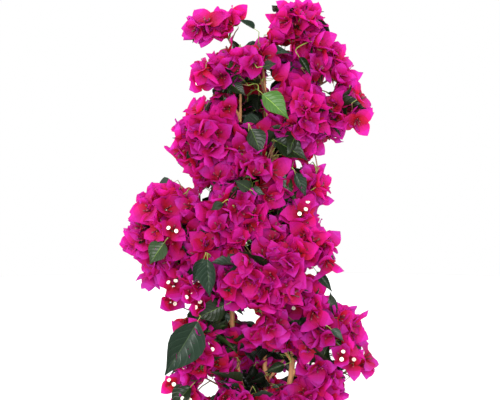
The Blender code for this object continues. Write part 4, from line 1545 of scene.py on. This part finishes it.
rng = random.Random(SEED + 2)
leaf_count = 0
for mass in MASSES:
    lines = twig_lines[mass.name]
    leafy = mass.leaves > mass.blossoms
    for _ in range(round(mass.leaves * LEAVES_PER_ROW)):
        for _ in range(LEAF_TRIES):
            line = rng.choice(lines)
            place = rng.uniform(0.15, 0.9) * (len(line) - 1)
            i = min(int(place), len(line) - 2)
            root = line[i].lerp(line[i + 1], place - i)
            twig = (line[i + 1] - line[i]).normalized()
            outward = outward_from(root)
            along = (random_direction(rng) + outward * 0.8 + twig * 0.4 - UP * 0.2).normalized()
            face = (UP + outward * 0.7 + random_direction(rng) * 0.4).normalized()
            length = LEAF_LENGTH * rng.uniform(0.62, 1.1)
            least = SKIN_LEAF if leafy or root.y > 0 else INNER_LEAF
            if leaf_fits(root, along, face, length, least):
                tint = rng.choice((0, 0, 1, 2) if not leafy else (0, 1, 1, 3))
                add_leaf(root, along, face, length, tint, rng.choice(leaf_patterns))
                leaf_count += 1
                break
print(leaf_count, "leaves by the rule")

# %% [markdown]
# Leaves also stand along the stems and boughs, where the crown would otherwise look empty between its masses,
# and the leaves at chosen places get a twig from the nearest wood.

# %% Leaves on the stems, and the leaves that show
STEM_LEAF_STEP = 0.0085
STEM_LEAF = 0.8              # the fullness that the tip of such a leaf needs
LOWEST_LEAF = 0.085
LEAST_BOW = 0.4              # how far a leaf's twig runs straight out, as a share of its length, or more


def leaves_along(line, thickness, first, rng):
    """Leaves in a spiral along a limb."""
    placed, turn, gone = 0, rng.uniform(0, math.tau), first
    for low, high in zip(line, line[1:]):
        along = (high - low).normalized()
        while gone < (high - low).length:
            root = low + along * gone
            gone += STEM_LEAF_STEP
            turn += GOLDEN
            side = along.orthogonal().normalized()
            side.rotate(Quaternion(along, turn))
            heading = (side + along * 0.3 + random_direction(rng) * 0.3 - UP * 0.15).normalized()
            face = (UP + heading * 0.3 + random_direction(rng) * 0.5).normalized()
            length = LEAF_LENGTH * rng.uniform(0.6, 1.0)
            root = root + side * thickness
            if root.z > LOWEST_LEAF and leaf_fits(root, heading, face, length, STEM_LEAF):
                add_leaf(root, heading, face, length, rng.choice((0, 0, 0, 1, 2)), rng.choice(leaf_patterns))
                placed += 1
        gone -= (high - low).length
    return placed


on_wood = sum(leaves_along(line, 0.003, 0.004, rng) for line in stem_lines.values())
on_wood += sum(leaves_along(line, 0.002, 0.012, rng) for line in boughs.values() if line)
print(on_wood, "leaves on stems and boughs")

carriers = [point for lines in twig_lines.values() for line in lines for point in line]
carriers += [point for line in stem_lines.values() for point in line]


def leaf_from_wood(foot, along, face, length, tint, pattern, broad=1.0):
    """A leaf at a chosen place. Its twig comes from the nearest wood, straight out of the crown."""
    root = foot - along * PETIOLE
    carrier = min(carriers, key=lambda point: (point - root).length)
    outward = outward_from(root)
    bow = root - outward * max((root - carrier).dot(outward), (root - carrier).length * LEAST_BOW)
    add_twig(bend(carrier, bow, root, 4), 0.0010, 0.0007, 5, GREEN)
    add_leaf(root, along, face, length, tint, pattern, broad)


for leaf in shown_leaves:
    along = (leaf.tip - leaf.foot).normalized()
    face = Vector((0.1, -1, 0.35)) + random_direction(rng) * 0.3
    length = (leaf.tip - leaf.foot).length
    leaf_from_wood(leaf.foot, along, face, length, leaf.tint, leaf_patterns[leaf.form], leaf.broad)
print(len(leaf_heap.points), "leaves so far")

# %% [markdown]
# Where one looks into the crown, dark leaves are set before the blossom of the far side, as painted shade of
# the crown's inside: their tint is darker than the rest. A large hollow gets more of them than a small one.

# %% Leaves in the hollows
HOLLOW_SHARE = 0.00009       # half width times half height of a hollow for each leaf
FEWEST = 3                   # leaves in a hollow
# the leaves in the hollows take the darkest tint, as painted shade of the crown's inside
PAINTED_SHADE_TINT = 4                     # their tint

rng = random.Random(SEED + 3)
shade_painted_leaves = 0
for x, z, wide, tall in HOLLOWS:
    for _ in range(max(FEWEST, round(wide * tall / HOLLOW_SHARE))):
        turn, out = rng.uniform(0, math.tau), math.sqrt(rng.random())
        middle = seen_at(x + wide * out * math.cos(turn), z + tall * out * math.sin(turn),
                         HOLLOW_BACK + rng.uniform(-0.022, 0.006))
        along = (random_direction(rng) + Vector((0, 0.2, -0.5))).normalized()
        face = Vector((0, -1, 0.3)) + random_direction(rng) * 0.6
        length = LEAF_LENGTH * rng.uniform(0.5, 0.8)
        foot = middle - along * length / 2
        spots = spots_of(foot, along, face, length)
        edge_on = abs(face.normalized().dot(along)) >= 0.8
        if clear(spots, HOLES, LEAF_MARGIN) and in_outline(spots).all() and not edge_on:
            leaf_from_wood(foot, along, face, length, PAINTED_SHADE_TINT, rng.choice(leaf_patterns))
            shade_painted_leaves += 1
print(shade_painted_leaves, "leaves in the hollows")

# %% [markdown]
# The leaves at chosen places are all at the front. At the sides and behind, some sprays have a leaf that lies
# on their blossom and hangs a little, so that the crown shows as much green from there.

# %% Leaves on the sides and behind
OUTER_SHARE = 0.22           # of the sprays on the skin there, how many have such a leaf
PROUD = 0.016                # how far it stands out from the hearts of the blossoms
SKIN_DEPTH, SKIN_FULLNESS = 0.02, 1.1   # a heart is on the skin where, this far out from it, less is left
FRONT = -0.03                # what lies further forward is left to the leaves at chosen places
OUTER_LEAF = 0.6             # the fullness that the tip of such a leaf needs

outer_leaves = 0
for spray in sprays:
    heart = heart_of(spray.blossoms[0])
    outward = outward_from(heart)
    on_skin = fullness([heart + outward * SKIN_DEPTH])[0] < SKIN_FULLNESS
    if heart.y > FRONT and outward.y > -0.5 and on_skin and rng.random() < OUTER_SHARE:
        along = random_direction(rng) - UP * 0.6
        along = (along - outward * along.dot(outward) * 0.8).normalized()
        face = (outward + UP * 0.3 + random_direction(rng) * 0.3).normalized()
        length = LEAF_LENGTH * rng.uniform(0.6, 0.95)
        foot = heart + outward * PROUD - along * length * 0.3
        if leaf_fits(foot - along * PETIOLE, along, face, length, OUTER_LEAF):
            leaf_from_wood(foot, along, face, length, rng.choice((0, 0, 1, 2)), rng.choice(leaf_patterns))
            outer_leaves += 1
print(outer_leaves, "leaves on the sides and behind")

# %% [markdown]
# ## The finished pieces
#
# The heaps become one piece for each kind, and the bracts one for each storey, so that no mesh grows too
# large. The bark and the bracts hide the solids whose place they take, and every piece rides on the one body.

# %% Make the pieces
bark.data.materials.clear()
bark.data.materials.append(bark_finish)
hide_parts("trunk", *stem_lines, *(f"bough_{name}" for name, line in boughs.items() if line))
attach(bark, "root")

for name, _ in STOREYS:
    piece = bract_heaps[name].piece(f"bracts_{name}", bract_finishes)
    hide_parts(*(mass.name for mass in MASSES if storey(mass) == name))
    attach(piece, "root")
for heap, name, finishes, slot in ((flower_heap, "flowers", flower_finishes, "blossom"),
                                   (twig_heap, "twigs", twig_finishes, "bark"),
                                   (leaf_heap, "leaves", leaf_finishes, "foliage")):
    piece = heap.piece(name, finishes)
    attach(piece, "root")

# %% [markdown]
# The floor is a plain pale sheet. Its finish is made last, since it isn't part of the bush.

# %% Floor finish
FLOOR_GREYS = (0.50, 0.50, 0.50, 1), (0.54, 0.54, 0.54, 1)
floor_finish = Finish("pale floor", Roughness=0.9)
floor_finish.colour(floor_finish.between(*FLOOR_GREYS, floor_finish.noise(4)))
floor.data.materials.append(floor_finish.material)
print("floor finish:", floor_finish.material.name)

# %% Sizes
look_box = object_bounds()
for name, box in (("solids", cad_box), ("looks", look_box)):
    print(name, [[round(place, 4) for place in corner] for corner in box])
